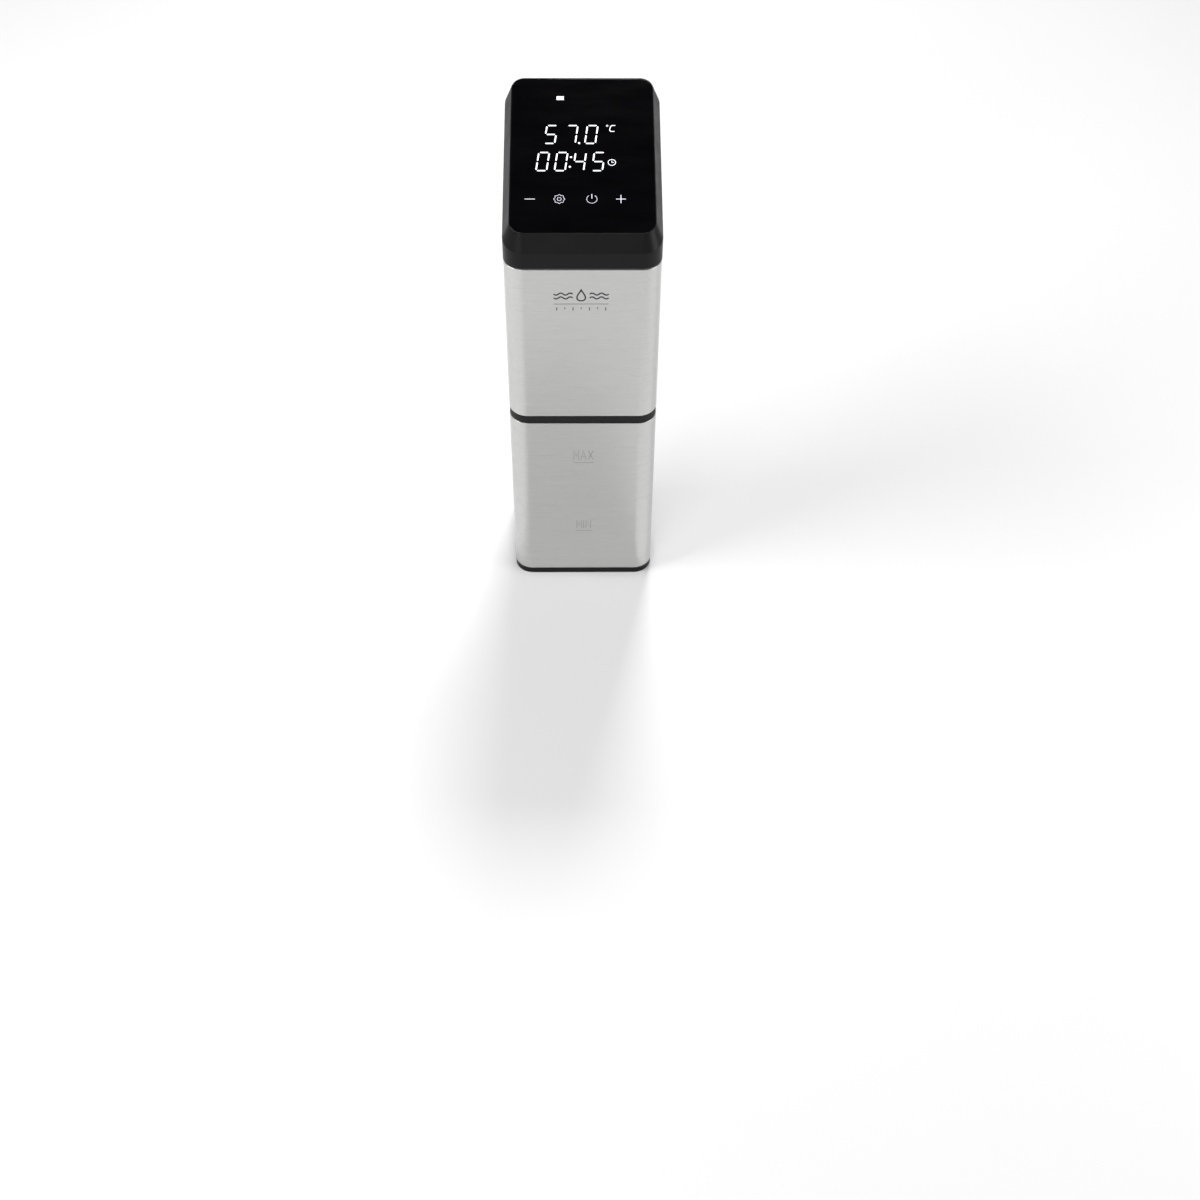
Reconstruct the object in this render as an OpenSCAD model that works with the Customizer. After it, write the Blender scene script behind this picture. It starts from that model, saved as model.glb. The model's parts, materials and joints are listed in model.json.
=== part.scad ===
// Sous vide circulator: touch-panel head, steel body, pull-off steel skirt,
// heater coil, pump and a sprung clamp for the wall of a pot.
// Origin: centre of the flat base, under the pump shaft. +Z is up and the panel faces -Y.

/* [Body] */
// Width of the steel body and skirt
body_w = 100; // [96:0.5:106]
// Depth of the steel body and skirt, front to back
body_d = 90; // [88:0.5:96]
// Corner radius of the body in plan
corner_r = 13; // [11:0.5:15]
// Thickness of the steel sheet
sheet_t = 0.8; // [0.6:0.1:1]

/* [Heights] */
// Height of the bottom cap's visible rim
rim_h = 5; // [4:0.5:6]
// Top edge of the skirt, where the seal ring begins
skirt_top = 147; // [145:1:150]
// Height of the seal ring
ring_h = 6.5; // [5:0.5:7]
// Underside of the head
head_z = 275; // [272:1:280]

/* [Head] */
// Depth of the head, which overhangs the body at the back
head_d = 127.4; // [122:0.2:130]
// How far the head stands proud of the body on each side
head_lip = 0.2; // [0:0.1:0.4]
// Slope of the glass panel, falling towards the front
panel_tilt = 17; // [14:0.5:19]
// Height of the upright band at the front of the head
band_h = 11.5; // [10:0.5:13]
// Chamfer round the glass: how far it leans in
chamfer_in = 4.4; // [3.6:0.2:5]
// Chamfer round the glass: how high it rises
chamfer_up = 12; // [10:0.5:13]
// Wall thickness of the head shell
shell_t = 2.5; // [2:0.1:3]
// Thickness of the glass panel
glass_t = 3; // [2:0.5:3]

/* [Pump] */
// Radius of the pump and motor shafts
shaft_r = 2.5; // [2:0.5:3]
// Running clearance of the shafts in their bearings, on the radius
run_gap = 0.05; // [0.02:0.01:0.1]
// Radius of the impeller
impeller_r = 20; // [16:1:20]
// Number of impeller blades
impeller_blades = 6; // [5:1:8]

/* [Heater] */
// Radius of the heater coil to the middle of its tube
coil_r = 19; // [16:0.5:19]
// Radius of the heater tube
tube_r = 3.2; // [2.8:0.1:3.4]
// Distance between turns
coil_pitch = 9; // [8:0.5:10]
// Whole turns of the coil, which makes half a turn more
coil_turns = 5; // [3:1:5]

/* [Clamp] */
// Width of the clamp's jaw and finger pad
clamp_w = 44; // [36:1:50]
// Height of the clamp's pivot above the seal ring
pivot_up = 24; // [22:1:26]
// Distance of the pivot behind the body
pivot_out = 15; // [14:0.5:16]
// Gap between skirt and jaw pad with the clamp shut
jaw_gap = 5.5; // [5:0.5:7]
// Lean of the finger pad away from the body
finger_lean = 17; // [15:1:18]

/* [Hidden] */
$fn = 64;

// Body outline and levels
slide_gap = 0.3;                          // between the skirt and what slides in it
fit_gap = 0.15;                           // between parts that stay together
body_back = body_d / 2;
body_front = -body_d / 2;
ring_top = skirt_top + ring_h;
ring_recess = 0.2;                        // the seal ring sits just inside the steel
neck_w = 95;                              // neck that the seal ring is stretched over
neck_d = 85;
spigot_t = 2.5;                           // wall of every plastic spigot
gasket_t = 0.8;
sleeve_top = head_z - gasket_t;
plate_z = skirt_top;                      // the partition's plate
plate_t = 4;
plate_top = plate_z + plate_t;
chassis_z = ring_top + 8.5;               // the chassis stands on the partition's spigot
floor_t = 3;                              // plates of the cap, the chassis and the head
self_tap_r = 1.4;                         // small screw in its plastic boss
clear_r = 1.6;                            // clearance hole for a small screw
screw_head_r = 2.8;
screw_head_h = 1.8;

// Head
head_w = body_w + 2 * head_lip;
head_front = body_front - head_lip;
head_back = head_front + head_d;
head_mid = (head_front + head_back) / 2;
glass_lip = 0.5;                          // plastic edge between chamfer and glass
glass_gap = 0.15;
chamfer_z = head_z + band_h;              // lower edge of the chamfer at the front
panel_z = chamfer_z + chamfer_up;         // upper edge of the chamfer at the front
glass_inset = chamfer_in + glass_lip;
panel_w = head_w - 2 * glass_inset;
panel_l = (head_d - 2 * glass_inset) / cos(panel_tilt);
panel_r = corner_r - glass_inset;
ledge_w = 3;                              // ledge under the edge of the glass
board_drop = 7;                           // glass underside down to the display board
board_t = 1.6;                            // thickness of both circuit boards
touch_row = -32;                          // row of touch keys, below the middle of the glass
touch_places = [-33, -12, 11, 32];        // their places across the glass
head_screw_places = [
    for (x = [-1, 1], y = [head_front + 15, head_back - 11]) [x * (head_w / 2 - shell_t - 4), y]
];

// Cord gland in the back of the head
gland_z = head_z + 16;
gland_r = 6;
cord_r = 3.6;                             // bore for a 7 mm cord
gland_in = 7;                             // how far the gland reaches inside the shell
gland_out = 3.5;                          // and how far its collar stands out

// Pump column and motor
impeller_z = 12;
impeller_h = 11;
bush_z = 30;
bush_h = 10;
tube_in = 5;
tube_out = 6.5;
coupling_z = chassis_z + 4;
coupling_h = 12;
mount_z = chassis_z + 18;                 // underside of the motor mount's plate
mount_w = 48;
mount_t = 2;
motor_z = mount_z + mount_t;
motor_r = 21;
motor_h = 44;
motor_top = motor_z + motor_h;
can_t = 1.5;
motor_screw_r = 1.5;
motor_screw_places = [-14, 14];
stator_z = motor_z + 10;
stator_h = 26;
magnet_r = 11.2;
bearing_r = 6.5;
bearing_h = 4;
fan_z = motor_top + 8;
fan_r = 27;

// Heater, probe and electrodes, all hung from the partition's plate
coil_top = 98;
leg_bend = 8;                             // radius of the bend from coil to leg
leg_step = 2 * tube_r + 1.5;              // how far the last turn spreads, to pass the coil
leg_top = plate_top + 8;
leg_places = [[coil_r, -leg_bend], [-coil_r - leg_step, -leg_bend]];
probe_place = [14, -34];
probe_r = 2;
probe_low = 38;
electrode_r = 1.5;
electrodes = [[-8, -34, 46], [-20, -34, 52]];   // x, y and height of the lower end
helix_steps = 22;                         // tube rings in each turn
helix_end = 360 * coil_turns + 180;
spread_arc = 150;                         // last stretch of the coil, where it spreads
bend_angles = [0:18:72];
function spread(a) = leg_step * pow(max(0, (a - helix_end + spread_arc) / spread_arc), 2);
function helix(a) = [
    (coil_r + spread(a)) * cos(a), (coil_r + spread(a)) * sin(a), coil_top - a / 360 * coil_pitch
];
function leg_arc(x, z, a) = [x, -leg_bend * cos(a), z + leg_bend * (1 - sin(a))];
coil_low = helix(helix_end)[2];
heater_path = concat(
    [[leg_places[0][0], -leg_bend, leg_top], [leg_places[0][0], -leg_bend, coil_top + 2 * leg_bend]],
    [for (a = bend_angles) leg_arc(leg_places[0][0], coil_top, a)],
    [for (i = [0:helix_steps * (coil_turns + 0.5)]) helix(i * 360 / helix_steps)],
    [for (a = bend_angles) leg_arc(leg_places[1][0], coil_low, 72 - a)],
    [[leg_places[1][0], -leg_bend, coil_low + 3 * leg_bend], [leg_places[1][0], -leg_bend, leg_top]]
);

// Chassis and power electronics
rail_x = body_w / 2 - sheet_t - 5;        // inner face of each side rail
rail_t = 3;
board_w = 86;
board_y = body_front + sheet_t + 9.5;     // front face of the power board
board_face = board_y + board_t;
chassis_screw_places = [for (x = [-1, 1], y = [-1, 1]) [x * 38, y * 30]];

// Clamp
clamp_pivot_y = body_back + pivot_out;
clamp_pivot_z = ring_top + pivot_up;
pin_r = 2;
pin_gap = 0.05;
ear_x = 15;                               // inner face of each bracket ear
ear_t = 4;
hub_r = 5;
jaw_t = 4;
pad_t = 2;
jaw_low = 104;                            // lower and upper edge of the jaw
jaw_high = ring_top - 6;
finger_l = 56;                            // reach of the finger pad above the pivot
finger_t = 4;
clamp_head_sink = 1.4;                    // screw heads sit this far off the steel, in the bracket
spring_r = 4.4;                           // coil of the spring to the middle of its wire
wire_r = 0.8;
spring_turns = 5;
spring_half = 7;                          // half the length of the coil along the pin
spring_leg = 12;
clamp_screw_places = [for (x = [-1, 1], z = [ring_top + 12, ring_top + 34]) [x * 11, z]];
function spring_coil(a) = [
    -spring_half + 2 * spring_half * a / (360 * spring_turns),
    clamp_pivot_y - spring_r * cos(a), clamp_pivot_z + spring_r * sin(a)
];
spring_path = concat(
    [for (k = [1, 0.5]) [-spring_half, clamp_pivot_y - spring_r, clamp_pivot_z - spring_leg * k]],
    [for (i = [0:16 * spring_turns]) spring_coil(i * 22.5)],
    [for (k = [0.5, 1]) [spring_half, clamp_pivot_y - spring_r, clamp_pivot_z + spring_leg * k]]
);

// ---------- shared outlines and shapes ----------

// Rounded rectangle with true arcs, centred on the origin
module rounded_rect(w, d, r) {
    square([w - 2 * r, d], center = true);
    square([w, d - 2 * r], center = true);
    for (x = [-1, 1], y = [-1, 1]) translate([x * (w / 2 - r), y * (d / 2 - r)]) circle(r);
}

// The body's outline, drawn in by an inset
module body_outline(inset) {
    rounded_rect(body_w - 2 * inset, body_d - 2 * inset, corner_r - inset);
}

// A frame between two insets of the body's outline
module body_ring(outer, inner) {
    difference() {
        body_outline(outer);
        body_outline(inner);
    }
}

// Straight slot with round ends, along Y
module slot(length, width) {
    square([width, length - width], center = true);
    for (y = [-1, 1]) translate([0, y * (length - width) / 2]) circle(d = width);
}

// Round tube or washer standing on z
module tube(outer, inner, z, h) {
    translate([0, 0, z]) difference() {
        cylinder(r = outer, h = h);
        translate([0, 0, -1]) cylinder(r = inner, h = h + 2);
    }
}

// Hexagon nut with a round bore, standing on z
module hex_nut(radius, bore, z, h) {
    translate([0, 0, z]) difference() {
        cylinder(r = radius, h = h, $fn = 6);
        translate([0, 0, -1]) cylinder(r = bore, h = h + 2);
    }
}

// Cross-head screw pointing up, its head's underside at the origin
module screw_up(shank_r, length) {
    cylinder(r = shank_r, h = length);
    difference() {
        translate([0, 0, -screw_head_h]) cylinder(r = screw_head_r, h = screw_head_h);
        for (a = [0, 90]) rotate(a) translate([0, 0, -screw_head_h])
            cube([screw_head_r * 1.1, 0.8, 2], center = true);
    }
}

// Points round the head's outline, drawn in by an inset, on a plane that rises to the back
function head_ring(inset, z_front, tilt) = [
    for (c = [[1, -1, -90], [1, 1, 0], [-1, 1, 90], [-1, -1, 180]], i = [0:8])
        let (r = corner_r - inset,
             x = c[0] * (head_w / 2 - corner_r) + r * cos(c[2] + i * 90 / 8),
             y = c[1] * (head_d / 2 - corner_r) + r * sin(c[2] + i * 90 / 8) + head_mid)
        [x, y, z_front + (y - head_front) * tan(tilt)]
];

// Solid through a stack of equal rings, from the lowest to the highest
module loft(rings) {
    n = len(rings[0]);
    last = (len(rings) - 1) * n;
    points = [for (ring = rings, p = ring) p];
    sides = [
        for (k = [0:len(rings) - 2], i = [0:n - 1])
            let (a = k * n + i, b = k * n + (i + 1) % n)
            each [[a, a + n, b + n], [a, b + n, b]]
    ];
    low = [[for (i = [0:n - 1]) i]];
    high = [[for (i = [n - 1:-1:0]) last + i]];
    polyhedron(points = points, faces = concat(low, sides, high), convexity = 6);
}

// Round tube swept along a path; outward says which way is out at each point
module sweep(path, outward, r, sides) {
    n = len(path);
    function unit(v) = v / norm(v);
    rings = [
        for (i = [0:n - 1])
            let (t = unit(path[min(i + 1, n - 1)] - path[max(i - 1, 0)]),
                 u = unit(outward[i] - (outward[i] * t) * t),
                 v = cross(t, u))
            [for (j = [0:sides - 1]) path[i] + r * (cos(j * 360 / sides) * u + sin(j * 360 / sides) * v)]
    ];
    loft(rings);
}

// The panel's own frame: origin at the middle of the glass's top face
module on_panel() {
    mid_y = head_mid;
    translate([0, mid_y, panel_z + (mid_y - head_front - chamfer_in) * tan(panel_tilt)])
        rotate([panel_tilt, 0, 0]) children();
}

// Turns what stands on Z to lie along +Y, towards the back
module facing_back() {
    rotate([-90, 0, 0]) children();
}

// Upright plate: an outline drawn in X and Z, from y to y + t
module upright(y, t) {
    translate([0, y + t, 0]) rotate([90, 0, 0]) linear_extrude(t) children();
}

// Side profile drawn in Y and Z, from x to x + t
module side_plate(x, t) {
    translate([x, 0, 0]) rotate([90, 0, 90]) linear_extrude(t) children();
}

// ---------- skirt and base ----------

module bottom_cap() {
    upstand = 8;                          // part that slides up inside the skirt
    cap_wall = 2;
    hub_gap = 9;                          // solid middle, inside the ring of outlet slots
    outlet_l = 16;
    color([0.07, 0.07, 0.07]) difference() {
        union() {
            linear_extrude(rim_h) body_outline(fit_gap);
            linear_extrude(rim_h + upstand) body_outline(sheet_t + fit_gap);
        }
        translate([0, 0, floor_t]) linear_extrude(rim_h + upstand)
            body_outline(sheet_t + fit_gap + cap_wall);
        for (a = [0:30:359]) rotate(a) translate([0, hub_gap + outlet_l / 2, -1])
            linear_extrude(floor_t + 2) slot(outlet_l, 3);
    }
}

module skirt() {
    inlet_z = 34;
    color([0.72, 0.72, 0.72]) difference() {
        translate([0, 0, rim_h]) linear_extrude(skirt_top - rim_h) body_ring(0, sheet_t);
        for (x = [-30:6:30]) translate([x, body_back, inlet_z]) rotate([90, 0, 0])
            translate([0, 0, -2]) linear_extrude(4) slot(32, 3);
    }
}

module neck_seal() {
    color([0.25, 0.25, 0.25]) translate([0, 0, skirt_top - 7])
        linear_extrude(3) body_ring(sheet_t + 0.08, sheet_t + 1.6);
}

module seal_ring() {
    color([0.05, 0.05, 0.05]) translate([0, 0, skirt_top]) linear_extrude(ring_h) difference() {
        body_outline(ring_recess);
        rounded_rect(neck_w, neck_d, corner_r - (body_w - neck_w) / 2);
    }
}

// ---------- partition between the water and the dry side ----------

module partition() {
    inner_r = corner_r - sheet_t - spigot_t;
    boss_r = 12;
    color([0.16, 0.16, 0.17]) difference() {
        union() {
            translate([0, 0, skirt_top]) linear_extrude(ring_h)
                rounded_rect(neck_w, neck_d, corner_r - (body_w - neck_w) / 2);
            translate([0, 0, skirt_top - 10]) linear_extrude(10) body_outline(sheet_t + slide_gap);
            translate([0, 0, ring_top]) linear_extrude(chassis_z - ring_top)
                body_outline(sheet_t + fit_gap);
        }
        translate([0, 0, skirt_top - 11]) linear_extrude(11)
            body_outline(sheet_t + slide_gap + spigot_t);
        difference() {
            translate([0, 0, plate_top]) linear_extrude(ring_h + 12)
                body_outline(sheet_t + spigot_t + (body_w - neck_w) / 2);
            cylinder(r = boss_r, h = plate_top + 5);
            for (p = chassis_screw_places) translate([p[0], p[1], 0]) cylinder(r = 4, h = chassis_z);
        }
        for (p = chassis_screw_places) translate([p[0], p[1], plate_top + 2]) cylinder(r = 1.5, h = 20);
        translate([0, 0, skirt_top - 7]) linear_extrude(3) body_ring(sheet_t, sheet_t + 1.6);
        translate([0, 0, plate_z - 1]) cylinder(r = shaft_r + 0.5, h = 20);
        translate([0, 0, plate_top - 1]) cylinder(r = 8, h = 20);
        for (p = leg_places) translate([p[0], p[1], plate_z - 1]) cylinder(r = tube_r, h = 20);
        translate([probe_place[0], probe_place[1], plate_z - 1]) cylinder(r = probe_r, h = 20);
        for (p = electrodes) translate([p[0], p[1], plate_z - 1]) cylinder(r = electrode_r, h = 20);
    }
}

module shaft_seal() {
    color([0.3, 0.15, 0.1]) tube(8, shaft_r + run_gap, plate_top - 1, 6);
}

module shaft_tube() {
    color([0.7, 0.7, 0.7]) difference() {
        union() {
            translate([0, 0, bush_z]) cylinder(r = tube_out, h = plate_z - bush_z);
            translate([0, 0, plate_z - 2]) cylinder(r = 12, h = 2);
        }
        translate([0, 0, bush_z - 1]) cylinder(r = tube_in, h = plate_z);
    }
}

module lower_bush() {
    color([0.85, 0.83, 0.75]) tube(tube_in, shaft_r + run_gap, bush_z, bush_h);
}

module pump_cage() {
    ring_in = impeller_r + 2;
    ring_out = ring_in + 2;
    ring_low_z = impeller_z - 3;
    ring_top_z = impeller_z + impeller_h + 4;
    color([0.16, 0.16, 0.17]) union() {
        tube(ring_out, ring_in, ring_low_z, ring_top_z - ring_low_z);
        tube(tube_out + 3, tube_out, bush_z, 12);
        for (a = [30:120:359]) rotate(a) {
            translate([tube_out + 1, -2, bush_z]) cube([ring_out - tube_out - 1.5, 4, 3]);
            translate([ring_in, -2, ring_top_z - 1]) cube([1.5, 4, bush_z + 3 - ring_top_z + 1]);
        }
    }
}

// ---------- heater and sensors ----------

module heater_coil() {
    color([0.62, 0.6, 0.58]) sweep(heater_path, [for (p = heater_path) [p[0], p[1], 0]], tube_r, 10);
}

module heater_nuts() {
    color([0.8, 0.65, 0.3]) for (p = leg_places) translate([p[0], p[1], 0])
        hex_nut(7, tube_r, plate_top, 4);
}

module heater_washers() {
    color([0.6, 0.2, 0.15]) for (p = leg_places) translate([p[0], p[1], 0])
        tube(6.5, tube_r, plate_z - 1.5, 1.5);
}

module temperature_probe() {
    color([0.75, 0.75, 0.75]) translate([probe_place[0], probe_place[1], 0]) {
        translate([0, 0, probe_low]) cylinder(r = probe_r, h = plate_top + 6 - probe_low);
        translate([0, 0, probe_low]) sphere(r = probe_r);
    }
}

module level_electrodes() {
    color([0.75, 0.75, 0.75]) for (p = electrodes)
        translate(p) cylinder(r = electrode_r, h = plate_top + 5 - p[2]);
}

module probe_grommets() {
    color([0.6, 0.2, 0.15]) {
        translate([probe_place[0], probe_place[1], 0]) tube(4.5, probe_r, plate_z - 2.5, 2.5);
        for (p = electrodes) translate([p[0], p[1], 0]) tube(4, electrode_r, plate_z - 2.5, 2.5);
    }
}

module thermal_cutout() {
    blade = [0.8, 5, 4.5];
    color([0.2, 0.2, 0.22]) translate([-26, 24, plate_top]) {
        cylinder(r = 8, h = 3);
        cylinder(r = 6, h = 6);
        for (x = [-3, 3]) translate([x - blade[0] / 2, -blade[1] / 2, 5]) cube(blade);
    }
}

// ---------- impeller, shafts and motor ----------

module impeller() {
    hub_r = 6;
    disc_t = 1.5;
    blade_t = 1.5;
    blade_h = impeller_h - disc_t;
    blade_arc = impeller_r * 0.62;        // radius of each blade's curve
    color([0.1, 0.1, 0.11]) difference() {
        union() {
            translate([0, 0, impeller_z]) cylinder(r = hub_r, h = impeller_h);
            translate([0, 0, impeller_z + blade_h]) cylinder(r = impeller_r, h = disc_t);
            translate([0, 0, impeller_z]) linear_extrude(blade_h) intersection() {
                circle(impeller_r);
                for (i = [0:impeller_blades - 1]) rotate(i * 360 / impeller_blades) intersection() {
                    translate([0, -blade_arc]) difference() {
                        circle(blade_arc + blade_t / 2);
                        circle(blade_arc - blade_t / 2);
                    }
                    translate([0, -2 * impeller_r]) square(2 * impeller_r);
                }
            }
        }
        translate([0, 0, impeller_z - 1]) cylinder(r = shaft_r, h = impeller_h + 2);
    }
}

module impeller_nut() {
    color([0.75, 0.75, 0.75]) hex_nut(4.5, shaft_r, impeller_z - 3, 3);
}

module pump_shaft() {
    low = impeller_z - 4;
    color([0.8, 0.8, 0.8]) translate([0, 0, low])
        cylinder(r = shaft_r, h = coupling_z + coupling_h / 2 - 0.5 - low);
}

module shaft_coupling() {
    color([0.7, 0.55, 0.2]) difference() {
        translate([0, 0, coupling_z]) cylinder(r = 8, h = coupling_h);
        translate([0, 0, coupling_z - 1]) cylinder(r = shaft_r, h = coupling_h + 2);
        for (z = [2.5, coupling_h - 2.5]) translate([shaft_r - 0.2, 0, coupling_z + z])
            rotate([0, 90, 0]) cylinder(r = 1.2, h = 10, $fn = 24);
    }
}

module motor_shaft() {
    low = coupling_z + coupling_h / 2 + 0.5;
    color([0.8, 0.8, 0.8]) translate([0, 0, low]) cylinder(r = shaft_r, h = fan_z + 11 - low);
}

module rotor_magnet() {
    color([0.2, 0.2, 0.25]) tube(magnet_r, shaft_r, stator_z + 1, stator_h - 2);
}

module cooling_fan() {
    fan_h = 8;
    color([0.12, 0.12, 0.13]) difference() {
        union() {
            translate([0, 0, fan_z]) cylinder(r = 8, h = fan_h);
            for (a = [0:360 / 7:359]) rotate(a) translate([6, 0, fan_z + fan_h / 2])
                rotate([35, 0, 0]) translate([0, -5, -0.6]) cube([fan_r - 6.5, 10, 1.2]);
        }
        translate([0, 0, fan_z - 1]) cylinder(r = shaft_r, h = fan_h + 2);
    }
}

module motor_mount() {
    leg_r = 3;
    leg_z = chassis_z + floor_t;
    color([0.6, 0.62, 0.62]) difference() {
        union() {
            translate([0, 0, mount_z]) linear_extrude(mount_t) rounded_rect(mount_w, mount_w, 4);
            for (x = [-1, 1], y = [-1, 1]) translate([x, y, 0] * (mount_w / 2 - leg_r - 1.5))
                translate([0, 0, leg_z]) cylinder(r = leg_r, h = mount_z - leg_z);
        }
        translate([0, 0, mount_z - 1]) cylinder(r = 9, h = mount_t + 2);
        for (x = motor_screw_places) translate([x, 0, mount_z - 1]) cylinder(r = clear_r, h = mount_t + 2);
    }
}

module motor_screws() {
    color([0.75, 0.75, 0.75]) for (x = motor_screw_places) translate([x, 0, mount_z])
        screw_up(motor_screw_r, mount_t + can_t);
}

module motor_can() {
    seat_r = bearing_r + 1.5;
    color([0.6, 0.62, 0.62]) difference() {
        union() {
            difference() {
                translate([0, 0, motor_z]) cylinder(r = motor_r, h = motor_h);
                translate([0, 0, motor_z + can_t]) cylinder(r = motor_r - can_t, h = motor_h);
            }
            translate([0, 0, motor_z]) cylinder(r = seat_r, h = can_t + bearing_h);
        }
        translate([0, 0, motor_z + can_t]) cylinder(r = bearing_r, h = motor_h);
        translate([0, 0, motor_z - 1]) cylinder(r = shaft_r + 1, h = motor_h);
        for (x = motor_screw_places) translate([x, 0, motor_z - 1]) cylinder(r = motor_screw_r, h = 4);
    }
}

module motor_end_bell() {
    vent_r = 2.2;
    color([0.12, 0.12, 0.13]) difference() {
        union() {
            translate([0, 0, motor_top]) cylinder(r = motor_r, h = 3);
            translate([0, 0, motor_top]) cylinder(r = bearing_r + 2, h = bearing_h + 1);
        }
        translate([0, 0, motor_top - 1]) cylinder(r = bearing_r, h = bearing_h + 1);
        translate([0, 0, motor_top]) cylinder(r = shaft_r + 1, h = 10);
        for (a = [0:45:359]) rotate(a) translate([14, 0, motor_top - 1]) cylinder(r = vent_r, h = 5);
    }
}

module lower_bearing() {
    color([0.7, 0.7, 0.7]) tube(bearing_r, shaft_r + run_gap, motor_z + can_t, bearing_h);
}

module upper_bearing() {
    color([0.7, 0.7, 0.7]) tube(bearing_r, shaft_r + run_gap, motor_top, bearing_h);
}

// Six winding slots, shared by the stator's iron and its coils
module stator_slots(grow) {
    for (a = [0:60:359]) rotate(a) translate([15.3, 0]) rounded_rect(5.2 + grow, 7.4 + grow, 1);
}

module stator_core() {
    color([0.45, 0.45, 0.48]) translate([0, 0, stator_z]) linear_extrude(stator_h) difference() {
        circle(motor_r - can_t);
        circle(magnet_r + 0.3);
        stator_slots(0);
    }
}

module stator_windings() {
    overhang = 3;                         // how far the coils stand out of the iron at each end
    color([0.72, 0.4, 0.18]) translate([0, 0, stator_z - overhang])
        linear_extrude(stator_h + 2 * overhang) stator_slots(-0.2);
}

// ---------- chassis and power electronics ----------

module chassis() {
    rail_w = 52;
    rail_top = sleeve_top - 12;
    block = [44, 4, 36];                  // backing for the clamp's screws
    post = [6, 3.5, 90];                  // one behind each side of the power board
    rail_z = chassis_z + floor_t - 1;
    color([0.3, 0.3, 0.32]) difference() {
        union() {
            translate([0, 0, chassis_z]) linear_extrude(floor_t) body_outline(sheet_t + fit_gap);
            for (x = [-rail_x - rail_t, rail_x]) translate([x, -rail_w / 2, rail_z])
                cube([rail_t, rail_w, rail_top - rail_z]);
            translate([-block[0] / 2, body_back - sheet_t - 1 - block[1], rail_z]) cube(block);
            for (x = [-board_w / 2, board_w / 2 - post[0]]) translate([x, board_y - post[1], rail_z])
                cube(post);
        }
        translate([0, 0, chassis_z - 1]) cylinder(r = 14, h = floor_t + 2);
        for (p = chassis_screw_places) translate([p[0], p[1], chassis_z - 1])
            cylinder(r = clear_r, h = floor_t + 2);
        for (p = clamp_screw_places) translate([p[0], body_back - 10, p[1]]) facing_back()
            cylinder(r = self_tap_r, h = 12);
    }
}

module chassis_screws() {
    color([0.75, 0.75, 0.75]) for (p = chassis_screw_places)
        translate([p[0], p[1], chassis_z + floor_t]) mirror([0, 0, 1]) screw_up(1.5, 8);
}

module power_board() {
    color([0.1, 0.35, 0.2]) translate([-board_w / 2, board_y, chassis_z + 10]) cube([board_w, board_t, 84]);
}

module transformer() {
    core = [17, 15, 20];
    winding = [13, 13, 28];
    middle = [32.5, board_face, chassis_z + 50];
    color([0.75, 0.7, 0.3]) for (part = [core, winding])
        translate(middle - [part[0] / 2, 0, part[2] / 2]) cube(part);
}

module relay() {
    size = [15, 12, 20];
    color([0.15, 0.3, 0.6]) translate([-40, board_face, chassis_z + 22]) cube(size);
}

module mains_capacitor() {
    size = [18, 10, 22];
    color([0.8, 0.75, 0.2]) translate([-41, board_face, chassis_z + 52]) cube(size);
}

module terminal_block() {
    size = [24, 8, 8];
    pitch = 8;
    color([0.15, 0.5, 0.3]) translate([0, board_face, chassis_z + 11]) difference() {
        translate([-size[0] / 2, 0, 0]) cube(size);
        for (x = [-pitch, 0, pitch]) translate([x, size[1] / 2, 2]) cylinder(r = 2, h = size[2]);
    }
}

module heat_sink() {
    base = [3, 42, 46];
    fin_t = 1.5;
    fin_reach = 12;
    color([0.7, 0.72, 0.74]) translate([rail_x, -8, chassis_z + 26]) {
        translate([-base[0], 0, 0]) cube(base);
        for (y = [0:5:26]) translate([-fin_reach, y, 0]) cube([fin_reach - base[0] + 0.5, fin_t, base[2]]);
    }
}

module triac() {
    size = [4.5, 10, 15];
    sink_base = 3;
    color([0.1, 0.1, 0.1]) translate([rail_x - sink_base - size[0], 23, chassis_z + 40]) cube(size);
}

// ---------- head ----------

module head_base() {
    edge = shell_t + fit_gap;
    spigot_l = 8;
    cable_way = [60, 12];                 // opening for the ribbon cable
    cut_h = floor_t + 2;
    color([0.07, 0.07, 0.07]) difference() {
        union() {
            translate([0, head_mid, head_z]) linear_extrude(floor_t)
                rounded_rect(head_w - 2 * edge, head_d - 2 * edge, corner_r - edge);
            translate([0, 0, sleeve_top - spigot_l]) linear_extrude(head_z - sleeve_top + spigot_l)
                body_outline(sheet_t + fit_gap);
        }
        translate([0, 0, sleeve_top - spigot_l - 1]) linear_extrude(head_z - sleeve_top + spigot_l + 1)
            body_outline(sheet_t + fit_gap + spigot_t);
        translate([-cable_way[0] / 2, body_front + 12, head_z - 1]) cube([each cable_way, cut_h]);
        translate([0, 0, head_z - 1]) cylinder(r = 20, h = cut_h);
        for (x = [-35:7:35]) translate([x, body_back + 18, head_z - 1]) linear_extrude(cut_h) slot(22, 2.5);
        for (p = head_screw_places) translate([p[0], p[1], head_z - 1]) cylinder(r = clear_r, h = cut_h);
    }
}

module head_gasket() {
    color([0.2, 0.2, 0.2]) translate([0, 0, sleeve_top]) linear_extrude(gasket_t)
        body_ring(0.4, sheet_t + fit_gap);
}

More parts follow.
